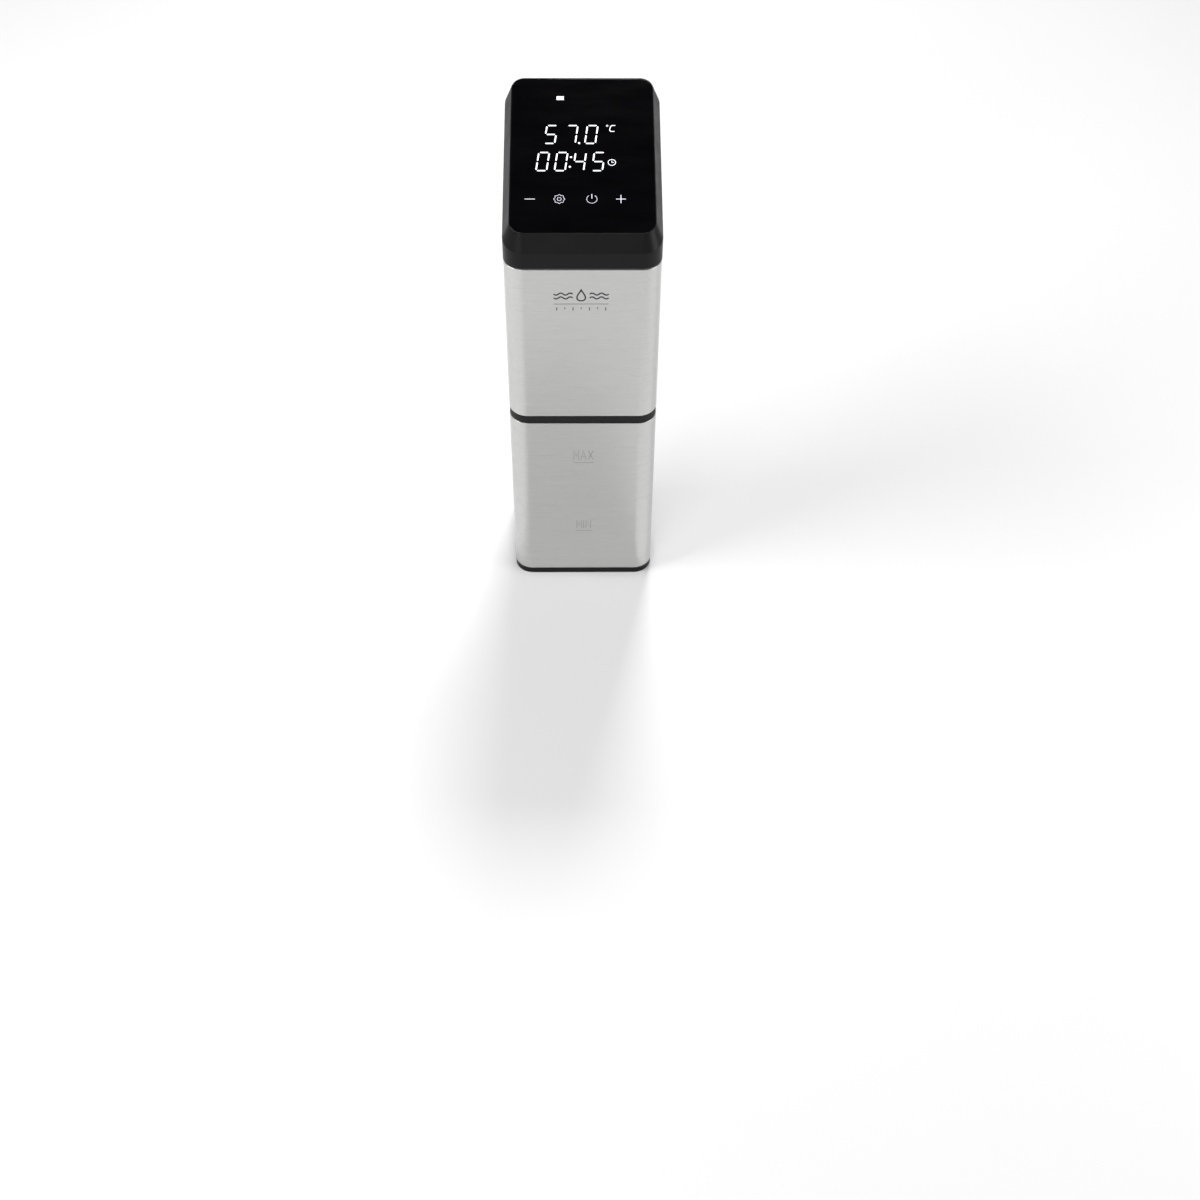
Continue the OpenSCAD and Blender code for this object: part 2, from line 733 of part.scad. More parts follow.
module head_shell() {
    boss_r = 4.2;
    top_in = glass_inset + ledge_w - 0.2;
    color([0.08, 0.08, 0.08]) difference() {
        union() {
            difference() {
                loft([
                    head_ring(0.5, head_z, 0),
                    head_ring(0, head_z + 0.5, 0),
                    head_ring(0, chamfer_z, panel_tilt),
                    head_ring(chamfer_in, panel_z - chamfer_in * tan(panel_tilt), panel_tilt)
                ]);
                loft([
                    head_ring(shell_t, head_z - 1, 0),
                    head_ring(shell_t, head_z + 2, 0),
                    head_ring(shell_t, chamfer_z - 1, panel_tilt),
                    head_ring(top_in, panel_z - chamfer_in * tan(panel_tilt) - glass_t - 2.5, panel_tilt)
                ]);
            }
            for (p = head_screw_places) translate([p[0], p[1], head_z + floor_t])
                cylinder(r = boss_r, h = 8);
        }
        on_panel() translate([0, 0, -glass_t - glass_gap]) linear_extrude(10)
            rounded_rect(panel_w + 2 * glass_gap, panel_l + 2 * glass_gap, panel_r + glass_gap);
        on_panel() translate([0, 0, -12]) linear_extrude(14)
            rounded_rect(panel_w - 2 * ledge_w, panel_l - 2 * ledge_w, panel_r - 2);
        for (p = head_screw_places) translate([p[0], p[1], head_z])
            cylinder(r = self_tap_r, h = floor_t + 7);
        translate([0, head_back - 10, gland_z]) facing_back() cylinder(r = gland_r, h = 20);
    }
}

module head_screws() {
    color([0.2, 0.2, 0.2]) for (p = head_screw_places) translate([p[0], p[1], head_z])
        screw_up(self_tap_r, 9);
}

module touch_glass() {
    color([0.02, 0.02, 0.02]) on_panel() translate([0, 0, -glass_t])
        linear_extrude(glass_t) rounded_rect(panel_w, panel_l, panel_r);
}

module display_board() {
    color([0.1, 0.35, 0.2]) on_panel() translate([0, 0, -glass_t - board_drop - board_t])
        linear_extrude(board_t) rounded_rect(panel_w - 10, panel_l - 16, 3);
}

module display_module() {
    color([0.85, 0.85, 0.82]) on_panel() translate([0, 14, -glass_t - board_drop])
        linear_extrude(board_drop) rounded_rect(62, 48, 2);
}

module touch_pads() {
    color([0.3, 0.3, 0.3]) on_panel() for (x = touch_places)
        translate([x, touch_row, -glass_t - board_drop]) cylinder(r = 5, h = board_drop);
}

module buzzer() {
    buzzer_h = 7;
    color([0.1, 0.1, 0.1]) on_panel() translate([-24, 30, -glass_t - board_drop - board_t - buzzer_h])
        difference() {
            cylinder(r = 6, h = buzzer_h);
            translate([0, 0, -1]) cylinder(r = 1.2, h = 2);
        }
}

module ribbon_cable() {
    low_z = chassis_z + 90;
    top_y = body_front + 20;
    top_z = panel_z + (top_y - head_front - chamfer_in) * tan(panel_tilt)
        - (glass_t + board_drop + board_t) / cos(panel_tilt) - 0.3;
    start_y = board_face;
    color([0.75, 0.75, 0.72]) translate([-10, 0, 0]) rotate([90, 0, 90]) linear_extrude(14) polygon([
        [start_y, low_z], [start_y + 1, low_z], [start_y + 1, low_z + 4], [top_y + 0.8, head_z - 8],
        [top_y + 0.8, top_z + 0.8 * tan(panel_tilt)], [top_y, top_z], [top_y, head_z - 7.6],
        [start_y, low_z + 4.6]
    ]);
}

// ---------- cord gland ----------

module cord_gland() {
    color([0.06, 0.06, 0.06]) translate([0, 0, gland_z]) difference() {
        union() {
            translate([0, head_back, 0]) facing_back() cylinder(r = gland_r + 2, h = gland_out);
            translate([0, head_back - shell_t - gland_in, 0]) facing_back()
                cylinder(r = gland_r, h = shell_t + gland_in + 1);
        }
        translate([0, head_back - 2 * gland_in, 0]) facing_back() cylinder(r = cord_r, h = 4 * gland_in);
    }
}

module gland_nut() {
    color([0.06, 0.06, 0.06]) translate([0, head_back - shell_t - 5, gland_z]) facing_back()
        hex_nut(9.2, gland_r, 0, 5);
}

// ---------- clamp ----------

module clamp_bracket() {
    base_w = clamp_w - 4;
    base_h = 42;
    base_t = 3;
    stop_out = 8;                         // ledge that rests on the pot's rim
    stop_h = 4;
    low = ring_top + 1;
    color([0.07, 0.07, 0.07]) difference() {
        union() {
            upright(body_back, base_t) translate([0, low + base_h / 2]) rounded_rect(base_w, base_h, 4);
            translate([-base_w / 2, body_back, low]) cube([base_w, stop_out, stop_h]);
            for (x = [-ear_x - ear_t, ear_x]) side_plate(x, ear_t) {
                translate([clamp_pivot_y, clamp_pivot_z]) circle(hub_r);
                polygon([
                    [body_back + 1, clamp_pivot_z - 15], [body_back + 7, clamp_pivot_z - 15],
                    [clamp_pivot_y + 3, clamp_pivot_z - 3.4], [clamp_pivot_y + 2, clamp_pivot_z + 3.6],
                    [body_back + 1, clamp_pivot_z + 14]
                ]);
            }
        }
        translate([-30, clamp_pivot_y, clamp_pivot_z]) rotate([0, 90, 0]) cylinder(r = pin_r, h = 60);
        for (p = clamp_screw_places) translate([p[0], body_back - 1, p[1]]) facing_back() {
            cylinder(r = clear_r, h = 10);
            translate([0, 0, 1 + clamp_head_sink]) cylinder(r = screw_head_r + 0.2, h = 4);
        }
    }
}

module clamp_screws() {
    color([0.7, 0.7, 0.7]) for (p = clamp_screw_places)
        translate([p[0], body_back + clamp_head_sink, p[1]])
        facing_back() mirror([0, 0, 1]) screw_up(self_tap_r, 8);
}

module clamp_lever() {
    jaw_y = body_back + jaw_gap + pad_t;
    jaw_back = jaw_y + jaw_t;
    finger_low = 12;                      // lower edge of the finger pad, above the pivot
    plate_r = 6;
    arm_t = 6;
    arm_x = [-ear_x + 0.5, ear_x - 0.5 - arm_t];
    color([0.07, 0.07, 0.07]) difference() {
        union() {
            upright(jaw_y, jaw_t) translate([0, (jaw_low + jaw_high) / 2])
                rounded_rect(clamp_w, jaw_high - jaw_low, plate_r);
            for (x = arm_x) side_plate(x, arm_t) {
                translate([clamp_pivot_y, clamp_pivot_z]) circle(hub_r);
                // arm down to the jaw, with a rib that runs out along its back
                polygon([
                    [clamp_pivot_y - 3.9, clamp_pivot_z - 2.6],
                    [clamp_pivot_y + 3.9, clamp_pivot_z - 2.6],
                    [jaw_back + 2, jaw_high + 2],
                    [jaw_back + 1.6, jaw_high - 12],
                    [jaw_back - 1, jaw_low + 12],
                    [jaw_y + 1, jaw_high - 6],
                    [jaw_y + 1.4, jaw_high + 4]
                ]);
            }
            translate([0, clamp_pivot_y, clamp_pivot_z]) rotate([-finger_lean, 0, 0]) {
                upright(-finger_t / 2, finger_t) translate([0, (finger_low + finger_l) / 2])
                    rounded_rect(clamp_w, finger_l - finger_low, plate_r);
                for (x = arm_x) side_plate(x, arm_t)
                    polygon([[-3.9, 2.6], [3.9, 2.6], [1, 14], [1, 20], [-3, 26], [-3.6, 14]]);
                for (z = [28:6:finger_l - 8]) upright(finger_t / 2 - 0.6, 1.4) translate([0, z])
                    rotate(90) slot(clamp_w - 12, 2.4);
            }
        }
        translate([-30, clamp_pivot_y, clamp_pivot_z]) rotate([0, 90, 0])
            cylinder(r = pin_r + pin_gap, h = 60);
    }
}

module clamp_pin() {
    color([0.75, 0.75, 0.75]) translate([-ear_x - ear_t - 2, clamp_pivot_y, clamp_pivot_z])
        rotate([0, 90, 0]) cylinder(r = pin_r, h = 2 * (ear_x + ear_t + 2));
}

module pin_clips() {
    color([0.4, 0.4, 0.42]) for (x = [-ear_x - ear_t - 0.8, ear_x + ear_t])
        translate([x, clamp_pivot_y, clamp_pivot_z]) rotate([0, 90, 0]) difference() {
            cylinder(r = 4, h = 0.8);
            translate([0, 0, -1]) cylinder(r = pin_r, h = 3);
        }
}

// Torsion spring round the pin: one leg lies on the bracket, the other on the finger pad
module clamp_spring() {
    outward = [
        for (p = spring_path) let (y = p[1] - clamp_pivot_y, z = p[2] - clamp_pivot_z)
            abs(z) > spring_r + 1 ? [0, -1, 0] : [0, y, z]
    ];
    color([0.7, 0.7, 0.72]) sweep(spring_path, outward, wire_r, 8);
}

module jaw_pad() {
    pad_w = clamp_w - 8;
    pad_low = jaw_low + 4;
    pad_high = jaw_high - 4;
    groove_t = 1.5;
    color([0.25, 0.25, 0.25]) difference() {
        upright(body_back + jaw_gap, pad_t) translate([0, (pad_low + pad_high) / 2])
            rounded_rect(pad_w, pad_high - pad_low, 3);
        for (z = [pad_low + 5:6:pad_high - 4]) translate([-clamp_w, body_back + jaw_gap - 1, z])
            cube([2 * clamp_w, 1.8, groove_t]);
    }
}

// ---------- upper steel sleeve ----------

module upper_sleeve() {
    color([0.72, 0.72, 0.72]) difference() {
        translate([0, 0, ring_top]) linear_extrude(sleeve_top - ring_top) body_ring(0, sheet_t);
        for (p = clamp_screw_places) translate([p[0], body_back - 3, p[1]]) facing_back()
            cylinder(r = 1.6, h = 6);
    }
}

bottom_cap();
skirt();
seal_ring();
partition();
neck_seal();
upper_sleeve();
chassis();
chassis_screws();
motor_mount();
motor_screws();
motor_can();
motor_end_bell();
stator_core();
stator_windings();
lower_bearing();
upper_bearing();
rotor_magnet();
motor_shaft();
cooling_fan();
shaft_coupling();
pump_shaft();
shaft_seal();
shaft_tube();
lower_bush();
impeller();
impeller_nut();
pump_cage();
heater_coil();
heater_nuts();
heater_washers();
temperature_probe();
level_electrodes();
probe_grommets();
thermal_cutout();
power_board();
transformer();
relay();
mains_capacitor();
terminal_block();
heat_sink();
triac();
head_base();
head_gasket();
head_shell();
head_screws();
touch_glass();
display_board();
display_module();
touch_pads();
buzzer();
ribbon_cable();
cord_gland();
gland_nut();
clamp_bracket();
clamp_screws();
clamp_lever();
clamp_pin();
pin_clips();
clamp_spring();
jaw_pad();
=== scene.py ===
import json
import math

import bmesh
import bpy
from mathutils import Matrix, Vector


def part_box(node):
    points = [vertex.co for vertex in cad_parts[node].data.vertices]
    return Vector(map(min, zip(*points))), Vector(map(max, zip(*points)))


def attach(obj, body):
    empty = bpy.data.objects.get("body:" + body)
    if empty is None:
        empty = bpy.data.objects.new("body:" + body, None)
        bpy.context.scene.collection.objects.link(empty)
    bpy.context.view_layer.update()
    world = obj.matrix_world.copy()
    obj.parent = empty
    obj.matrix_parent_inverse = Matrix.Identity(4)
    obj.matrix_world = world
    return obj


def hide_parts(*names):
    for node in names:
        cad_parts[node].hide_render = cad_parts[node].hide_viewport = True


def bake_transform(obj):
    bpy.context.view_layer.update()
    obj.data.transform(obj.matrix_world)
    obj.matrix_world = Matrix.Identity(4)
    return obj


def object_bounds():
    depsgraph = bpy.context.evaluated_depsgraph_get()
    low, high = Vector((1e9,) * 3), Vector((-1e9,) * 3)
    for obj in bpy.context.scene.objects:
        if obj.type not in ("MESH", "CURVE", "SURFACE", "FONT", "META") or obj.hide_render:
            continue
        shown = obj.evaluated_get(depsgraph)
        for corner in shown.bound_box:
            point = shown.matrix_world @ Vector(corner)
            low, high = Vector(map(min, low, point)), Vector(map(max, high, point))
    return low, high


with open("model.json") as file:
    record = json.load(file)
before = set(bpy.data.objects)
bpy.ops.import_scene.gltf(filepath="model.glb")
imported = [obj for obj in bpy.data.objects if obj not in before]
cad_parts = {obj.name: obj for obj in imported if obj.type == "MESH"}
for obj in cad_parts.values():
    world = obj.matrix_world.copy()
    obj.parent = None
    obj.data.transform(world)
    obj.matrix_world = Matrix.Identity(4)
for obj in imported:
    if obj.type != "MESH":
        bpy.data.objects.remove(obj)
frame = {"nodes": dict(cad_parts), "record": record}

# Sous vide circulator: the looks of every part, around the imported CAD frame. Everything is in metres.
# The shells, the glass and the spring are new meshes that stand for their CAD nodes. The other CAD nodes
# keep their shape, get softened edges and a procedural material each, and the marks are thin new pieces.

MM = 0.001
cad_low, cad_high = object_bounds()

# ---------- sizes ----------

CORNER = 13 * MM                # corner radius of the body and the head, seen from above
SHEET = 0.8 * MM                # steel sheet of skirt and sleeve
BAND = 11.5 * MM                # upright band round the foot of the head
CHAMFER_IN = 4.4 * MM           # how far the chamfer round the glass leans in
GLASS_INSET = 4.9 * MM          # from the head's side to the edge of the glass
GLASS_GAP = 0.15 * MM           # play round the glass in its recess, and under it
GLASS_CORNER = CORNER - GLASS_INSET
LEDGE = 3 * MM                  # plastic under the edge of the glass
LEDGE_THICK = 2.2 * MM
HEAD_WALL = 2.5 * MM
HEAD_FOOT = 0.5 * MM            # radius of the head's lower outer edge
BOSS_RADIUS = 4.2 * MM          # screw posts inside the head
BOSS_HOLE = 1.4 * MM
BOSS_HEIGHT = 8 * MM
BOSS_IN = 6.5 * MM
BOSS_FROM_FRONT = 15 * MM
BOSS_FROM_BACK = 11 * MM
GLAND_HOLE = 6 * MM             # radius of the hole for the cord gland
MARK_RISE = 0.03 * MM           # how far a mark stands out of its surface
ARC_STEPS = 14                  # segments in each corner of an outline

skirt_low, skirt_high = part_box("skirt")
sleeve_low, sleeve_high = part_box("upper_sleeve")
ring_low, ring_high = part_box("seal_ring")
head_low, head_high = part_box("head_shell")
glass_low, glass_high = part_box("touch_glass")
mounts = {m["name"]: m for m in frame["record"]["mounts"]}


# ---------- the glass panel's own frame: origin in the middle of its top face ----------

def panel_frame():
    """Slope, length and thickness of the glass, and the matrix from its frame to the row frame."""
    faces = frame["nodes"]["touch_glass"].data.polygons
    top = max((f for f in faces if f.normal.z > 0.5), key=lambda f: f.area)
    slope = math.atan2(-top.normal.y, top.normal.z)
    size = glass_high - glass_low
    thickness = (size.z * math.cos(slope) - size.y * math.sin(slope)) / math.cos(2 * slope)
    length = (size.y * math.cos(slope) - size.z * math.sin(slope)) / math.cos(2 * slope)
    turn = Matrix.Rotation(slope, 4, "X")
    centre = (glass_low + glass_high) / 2 + turn @ Vector((0, 0, thickness / 2))
    return slope, length, thickness, Matrix.Translation(centre) @ turn


SLOPE, GLASS_LENGTH, GLASS_THICK, PANEL = panel_frame()


def on_panel(u, v, rise):
    """A point on the glass: u across it, v up its slope, rise out of it."""
    return PANEL @ Vector((u, v, rise))


def on_front(x, z, rise):
    """A point on the flat front of the steel."""
    return Vector((x, sleeve_low.y - rise, z))


# ---------- shapes ----------

def outline(half_w, half_d, radius, mid_y=0.0):
    """Points (x, y) round a rounded rectangle, anticlockwise seen from above."""
    points = []
    for side_x, side_y, start in ((1, -1, -90), (1, 1, 0), (-1, 1, 90), (-1, -1, 180)):
        for i in range(ARC_STEPS + 1):
            a = math.radians(start + 90 * i / ARC_STEPS)
            x = side_x * (half_w - radius) + radius * math.cos(a)
            y = side_y * (half_d - radius) + radius * math.sin(a) + mid_y
            points.append((x, y))
    return points


def fillet(points, radii):
    """An open profile with its corners rounded, each by its own radius."""
    steps = 5
    made = [points[0]]
    for before, corner, after, radius in zip(points, points[1:], points[2:], radii):
        here = Vector(corner)
        back = (Vector(before) - here).normalized()
        ahead = (Vector(after) - here).normalized()
        half = back.angle(ahead) / 2
        reach = radius / math.tan(half)
        centre = here + (back + ahead).normalized() * radius / math.sin(half)
        start = (here + back * reach - centre).normalized()
        end = (here + ahead * reach - centre).normalized()
        for i in range(steps + 1):
            made.append(tuple(centre + start.slerp(end, i / steps) * radius))
    made.append(points[-1])
    return made


def loft(bm, rings, closed=False, capped=False):
    """Faces between rings that have the same number of points, and over both ends if capped."""
    rows = [[bm.verts.new(p) for p in ring] for ring in rings]
    pairs = list(zip(rows, rows[1:]))
    if closed:
        pairs.append((rows[-1], rows[0]))
    count = len(rows[0])
    for a, b in pairs:
        for i in range(count):
            j = (i + 1) % count
            bm.faces.new((a[i], a[j], b[j], b[i]))
    if capped:
        bm.faces.new(rows[0][::-1])
        bm.faces.new(rows[-1])


def tube(bm, path, radius):
    """A round rod along a path, closed at both ends, with a frame carried from point to point."""
    sides = 12
    rings = []
    across = None
    for i, point in enumerate(path):
        along = (path[min(i + 1, len(path) - 1)] - path[max(i - 1, 0)]).normalized()
        if across is None:
            across = along.orthogonal()
        across = (across - along * across.dot(along)).normalized()
        other = along.cross(across)
        ring = []
        for k in range(sides):
            a = 2 * math.pi * k / sides
            ring.append(point + radius * (math.cos(a) * across + math.sin(a) * other))
        rings.append(ring)
    loft(bm, rings, capped=True)


def ribbon(bm, path, widths, place, closed=False):
    """A thin flat stroke along points (a, b) of a surface; place(a, b, rise) puts a point on it.

    The width is one number, or one for each point. The stroke's foot is sunk a little into the surface.
    """
    points = [Vector(p) for p in path]
    count = len(points)
    widths = widths if hasattr(widths, "__len__") else [widths] * count
    columns = []
    for i, point in enumerate(points):
        before = points[i - 1] if closed or i else point
        after = points[(i + 1) % count] if closed or i < count - 1 else point
        arms = [(b - a).normalized() for a, b in ((before, point), (point, after)) if (b - a).length > 0]
        along = sum(arms, Vector((0, 0))).normalized()
        mitre = max(along.dot(arms[0]), 0.4)
        side = Vector((-along.y, along.x)) * widths[i] / 2 / mitre
        left, right = point + side, point - side
        sunk = -MARK_RISE / 2
        corners = ((left, MARK_RISE), (right, MARK_RISE), (right, sunk), (left, sunk))
        columns.append([bm.verts.new(place(p.x, p.y, up)) for p, up in corners])
    pairs = list(zip(columns, columns[1:]))
    if closed:
        pairs.append((columns[-1], columns[0]))
    for a, b in pairs:
        for k in range(4):
            j = (k + 1) % 4
            bm.faces.new((a[k], a[j], b[j], b[k]))
    if not closed:
        bm.faces.new(columns[0][::-1])
        bm.faces.new(columns[-1])


def arc(centre, radius, start, end, steps):
    """Points on an arc, angles in degrees from the first axis."""
    points = []
    for i in range(steps + 1):
        a = math.radians(start + (end - start) * i / steps)
        points.append((centre[0] + radius * math.cos(a), centre[1] + radius * math.sin(a)))
    return points


def circle(centre, radius, steps=28):
    """Points round a circle, for a closed ribbon."""
    return arc(centre, radius, 0, 360, steps)[:-1]


# ---------- pieces ----------

def new_object(name, bm):
    """An object in the scene from a finished bmesh, with its normals outwards."""
    bmesh.ops.recalc_face_normals(bm, faces=bm.faces)
    mesh = bpy.data.meshes.new(name)
    bm.to_mesh(mesh)
    bm.free()
    made = bpy.data.objects.new(name, mesh)
    bpy.context.scene.collection.objects.link(made)
    return made


def keep_evaluated(target):
    """Applies a piece's modifiers to its mesh."""
    mesh = bpy.data.meshes.new_from_object(target.evaluated_get(bpy.context.evaluated_depsgraph_get()))
    target.modifiers.clear()
    target.data = mesh


def combine(target, tool, operation):
    """Cuts a tool out of a piece, or adds it, and removes the tool."""
    change = target.modifiers.new("combine", "BOOLEAN")
    change.operation = operation
    change.solver = "EXACT"
    change.object = tool
    keep_evaluated(target)
    bpy.data.objects.remove(tool)


def sharp_by_angle(limit):
    """A modifier's node group: smooth shading, with every edge over the limit kept sharp."""
    tree = bpy.data.node_groups.new("sharp by angle", "GeometryNodeTree")
    tree.interface.new_socket("Geometry", in_out="INPUT", socket_type="NodeSocketGeometry")
    tree.interface.new_socket("Geometry", in_out="OUTPUT", socket_type="NodeSocketGeometry")
    start = tree.nodes.new("NodeGroupInput")
    end = tree.nodes.new("NodeGroupOutput")
    smooth = tree.nodes.new("GeometryNodeSetShadeSmooth")
    smooth.domain = "FACE"
    angle = tree.nodes.new("GeometryNodeInputMeshEdgeAngle")
    above = tree.nodes.new("FunctionNodeCompare")
    above.data_type = "FLOAT"
    above.operation = "GREATER_THAN"
    above.inputs["B"].default_value = limit
    sharp = tree.nodes.new("GeometryNodeSetShadeSmooth")
    sharp.domain = "EDGE"
    sharp.inputs["Shade Smooth"].default_value = False
    tree.links.new(start.outputs[0], smooth.inputs["Geometry"])
    tree.links.new(angle.outputs["Unsigned Angle"], above.inputs["A"])
    tree.links.new(above.outputs["Result"], sharp.inputs["Selection"])
    tree.links.new(smooth.outputs["Geometry"], sharp.inputs["Geometry"])
    tree.links.new(sharp.outputs["Geometry"], end.inputs[0])
    return tree


SHARP_EDGES = sharp_by_angle(math.radians(50))


def soften(target, width=None, angle=32):
    """Smooth shading that keeps flat faces flat, with the sharp edges bevelled if a width is given."""
    if width:
        bevel = target.modifiers.new("soft edges", "BEVEL")
        bevel.width = width
        bevel.segments = 2
        bevel.limit_method = "ANGLE"
        bevel.angle_limit = math.radians(angle)
    target.modifiers.new("sharp edges", "NODES").node_group = SHARP_EDGES
    weight = target.modifiers.new("flat faces", "WEIGHTED_NORMAL")
    weight.keep_sharp = True
    weight.weight = 80


def smooth_faces(target):
    for face in target.data.polygons:
        face.use_smooth = True


def finish_piece(made, body, look, replaced=()):
    """Gives a piece its material and body, and hides the CAD nodes it stands for."""
    made.data.materials.clear()
    made.data.materials.append(look)
    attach(made, body)
    if replaced:
        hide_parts(*replaced)
    return made


# ---------- materials ----------

class Look:
    """One procedural material: its shader, and short calls for the pattern nodes that drive it."""

    def __init__(self, name, **constants):
        self.material = bpy.data.materials.new(name)
        self.material.use_nodes = True
        self.tree = self.material.node_tree
        self.shader = self.tree.nodes["Principled BSDF"]
        self.place = self.tree.nodes.new("ShaderNodeTexCoord").outputs["Object"]
        for socket, value in constants.items():
            self.shader.inputs[socket.replace("_", " ").title().replace("Ior", "IOR")].default_value = value

    def node(self, kind, inputs=(), **settings):
        """A shader node: inputs are sockets to link or values to set, settings its properties."""
        made = self.tree.nodes.new("ShaderNode" + kind)
        for setting, value in settings.items():
            setattr(made, setting, value)
        for socket, value in dict(inputs).items():
            if isinstance(value, bpy.types.NodeSocket):
                self.tree.links.new(value, made.inputs[socket])
            else:
                made.inputs[socket].default_value = value
        return made

    def stretched(self, x, y, z):
        """The object's coordinates, scaled along each axis."""
        return self.node("Mapping", {"Vector": self.place, "Scale": (x, y, z)}).outputs[0]

    def noise(self, scale, detail=3, rough=0.55, vector=None):
        inputs = {"Vector": vector or self.place, "Scale": scale, "Detail": detail, "Roughness": rough}
        return self.node("TexNoise", inputs).outputs["Fac"]

    def cells(self, scale, vector):
        """Distance from the nearest of many scattered points."""
        return self.node("TexVoronoi", {"Vector": vector, "Scale": scale}).outputs["Distance"]

    def bands(self, pitch, axis="Z", distortion=0.0):
        """Even bands of a given pitch across an axis."""
        inputs = {"Vector": self.place, "Scale": 2 * math.pi / 20 / pitch, "Distortion": distortion}
        return self.node("TexWave", inputs, bands_direction=axis).outputs["Fac"]

    def spread(self, value, low, high, start=0.3, end=0.7):
        """A pattern's value from start to end, spread from low to high."""
        inputs = {"Value": value, "From Min": start, "From Max": end, "To Min": low, "To Max": high}
        return self.node("MapRange", inputs).outputs["Result"]

    def blend(self, factor, first, second):
        """A colour between two, by a pattern from 0 to 1."""
        made = self.node("Mix", data_type="RGBA")
        self.tree.links.new(factor, made.inputs["Factor"])
        for name, colour in (("A", first), ("B", second)):
            entry = [s for s in made.inputs if s.name == name and s.type == "RGBA"][0]
            if isinstance(colour, bpy.types.NodeSocket):
                self.tree.links.new(colour, entry)
            else:
                entry.default_value = (*colour, 1)
        return [s for s in made.outputs if s.type == "RGBA"][0]

    def plus(self, first, second):
        return self.node("Math", {0: first, 1: second}, operation="ADD").outputs[0]

    def weighed(self, first, second, share):
        """Two patterns mixed, with the given share of the first."""
        parts = []
        for value, weight in ((first, share), (second, 1 - share)):
            parts.append(self.node("Math", {0: value, 1: weight}, operation="MULTIPLY").outputs[0])
        return self.plus(*parts)

    def drive(self, socket, value):
        """Links a pattern to one of the shader's sockets."""
        self.tree.links.new(value, self.shader.inputs[socket])

    def bump(self, height, distance, strength=1.0):
        """Raises the surface by a pattern; a second call adds to the first."""
        inputs = {"Height": height, "Distance": distance, "Strength": strength}
        made = self.node("Bump", inputs)
        normal = self.shader.inputs["Normal"]
        if normal.is_linked:
            self.tree.links.new(normal.links[0].from_socket, made.inputs["Normal"])
        self.tree.links.new(made.outputs[0], normal)


def shade(colour, factor):
    """A colour made darker or lighter."""
    return tuple(c * factor for c in colour)


COLOURS = {m["slot"]: tuple(m["base_color"][:3]) for m in frame["record"]["materials"]}
GRAIN_SCALE = 1 / (0.9 * MM)    # a moulded grain of 0.9 mm


def moulded(slot, rough, depth=0.012 * MM, contrast=0.18, tone=1.0, **constants):
    """Moulded plastic: a fine spark-eroded grain, faint flow marks and a little wear in the sheen."""
    look = Look(slot, **constants)
    colour = shade(COLOURS[slot], tone)
    flow = look.noise(24, detail=4)
    look.drive("Base Color", look.blend(flow, shade(colour, 1 - contrast), shade(colour, 1 + contrast)))
    look.drive("Roughness", look.spread(look.noise(60, detail=5), rough - 0.05, rough + 0.06))
    look.bump(look.noise(GRAIN_SCALE, detail=2), depth)
    return look.material


def rubber(slot, rough=0.62, tone=1.0):
    """Silicone or rubber: soft, dull, with a fine dusty mottling."""
    look = Look(slot, specular_ior_level=0.2)
    colour = shade(COLOURS[slot], tone)
    dust = look.noise(420, detail=5, rough=0.7)
    look.drive("Base Color", look.blend(look.spread(dust, 0, 1), shade(colour, 0.85), shade(colour, 1.25)))
    look.drive("Roughness", look.spread(look.noise(900), rough - 0.06, rough + 0.08))
    look.bump(look.noise(2600, detail=2), 0.01 * MM)
    return look.material


def brushed_steel():
    """Sheet steel with a horizontal brushed grain: fine hair lines, longer streaks and a slow cloudiness."""
    look = Look("brushed_steel", metallic=1.0, anisotropic=0.45, anisotropic_rotation=0.25)
    colour = COLOURS["brushed_steel"]
    hair = look.noise(1, detail=2, rough=0.5, vector=look.stretched(35, 35, 4200))
    streak = look.noise(1, detail=3, rough=0.5, vector=look.stretched(30, 30, 1500))
    cloud = look.noise(9, detail=2)
    mixed = look.weighed(hair, streak, 0.74)
    tone = look.spread(look.weighed(mixed, cloud, 0.8), 0, 1, 0.36, 0.64)
    look.drive("Base Color", look.blend(tone, shade(colour, 0.87), shade(colour, 0.925)))
    look.drive("Roughness", look.spread(mixed, 0.27, 0.32, 0.35, 0.65))
    look.bump(hair, 0.003 * MM, 0.5)
    tangent = look.node("Tangent", direction_type="RADIAL", axis="Z")
    look.drive("Tangent", tangent.outputs[0])
    return look.material


def metal(slot, rough, lines=0, mottle=60, contrast=0.08):
    """Bare metal: turned or drawn lines across Z, and a faint mottled tone."""
    look = Look(slot, metallic=1.0)
    colour = COLOURS[slot]
    spots = look.noise(mottle, detail=5)
    look.drive("Base Color", look.blend(spots, shade(colour, 1 - contrast), shade(colour, 1 + contrast)))
    grain = look.noise(1, detail=3, vector=look.stretched(60, 60, 60 + lines))
    look.drive("Roughness", look.spread(grain, rough - 0.05, rough + 0.08))
    look.bump(grain, 0.004 * MM)
    return look.material


def heater_steel():
    """Stainless heater tube: a straw heat tint in slow clouds, with a drawn-tube grain."""
    look = Look("heater_steel", metallic=1.0)
    colour = COLOURS["heater_steel"]
    cloud = look.spread(look.noise(70, detail=4), 0, 1, 0.38, 0.66)
    straw = (colour[0] * 1.1, colour[1] * 0.95, colour[2] * 0.72)
    look.drive("Base Color", look.blend(cloud, shade(colour, 1.05), straw))
    look.drive("Roughness", look.spread(look.noise(300, detail=5), 0.24, 0.4))
    look.bump(look.noise(1800), 0.004 * MM)
    return look.material


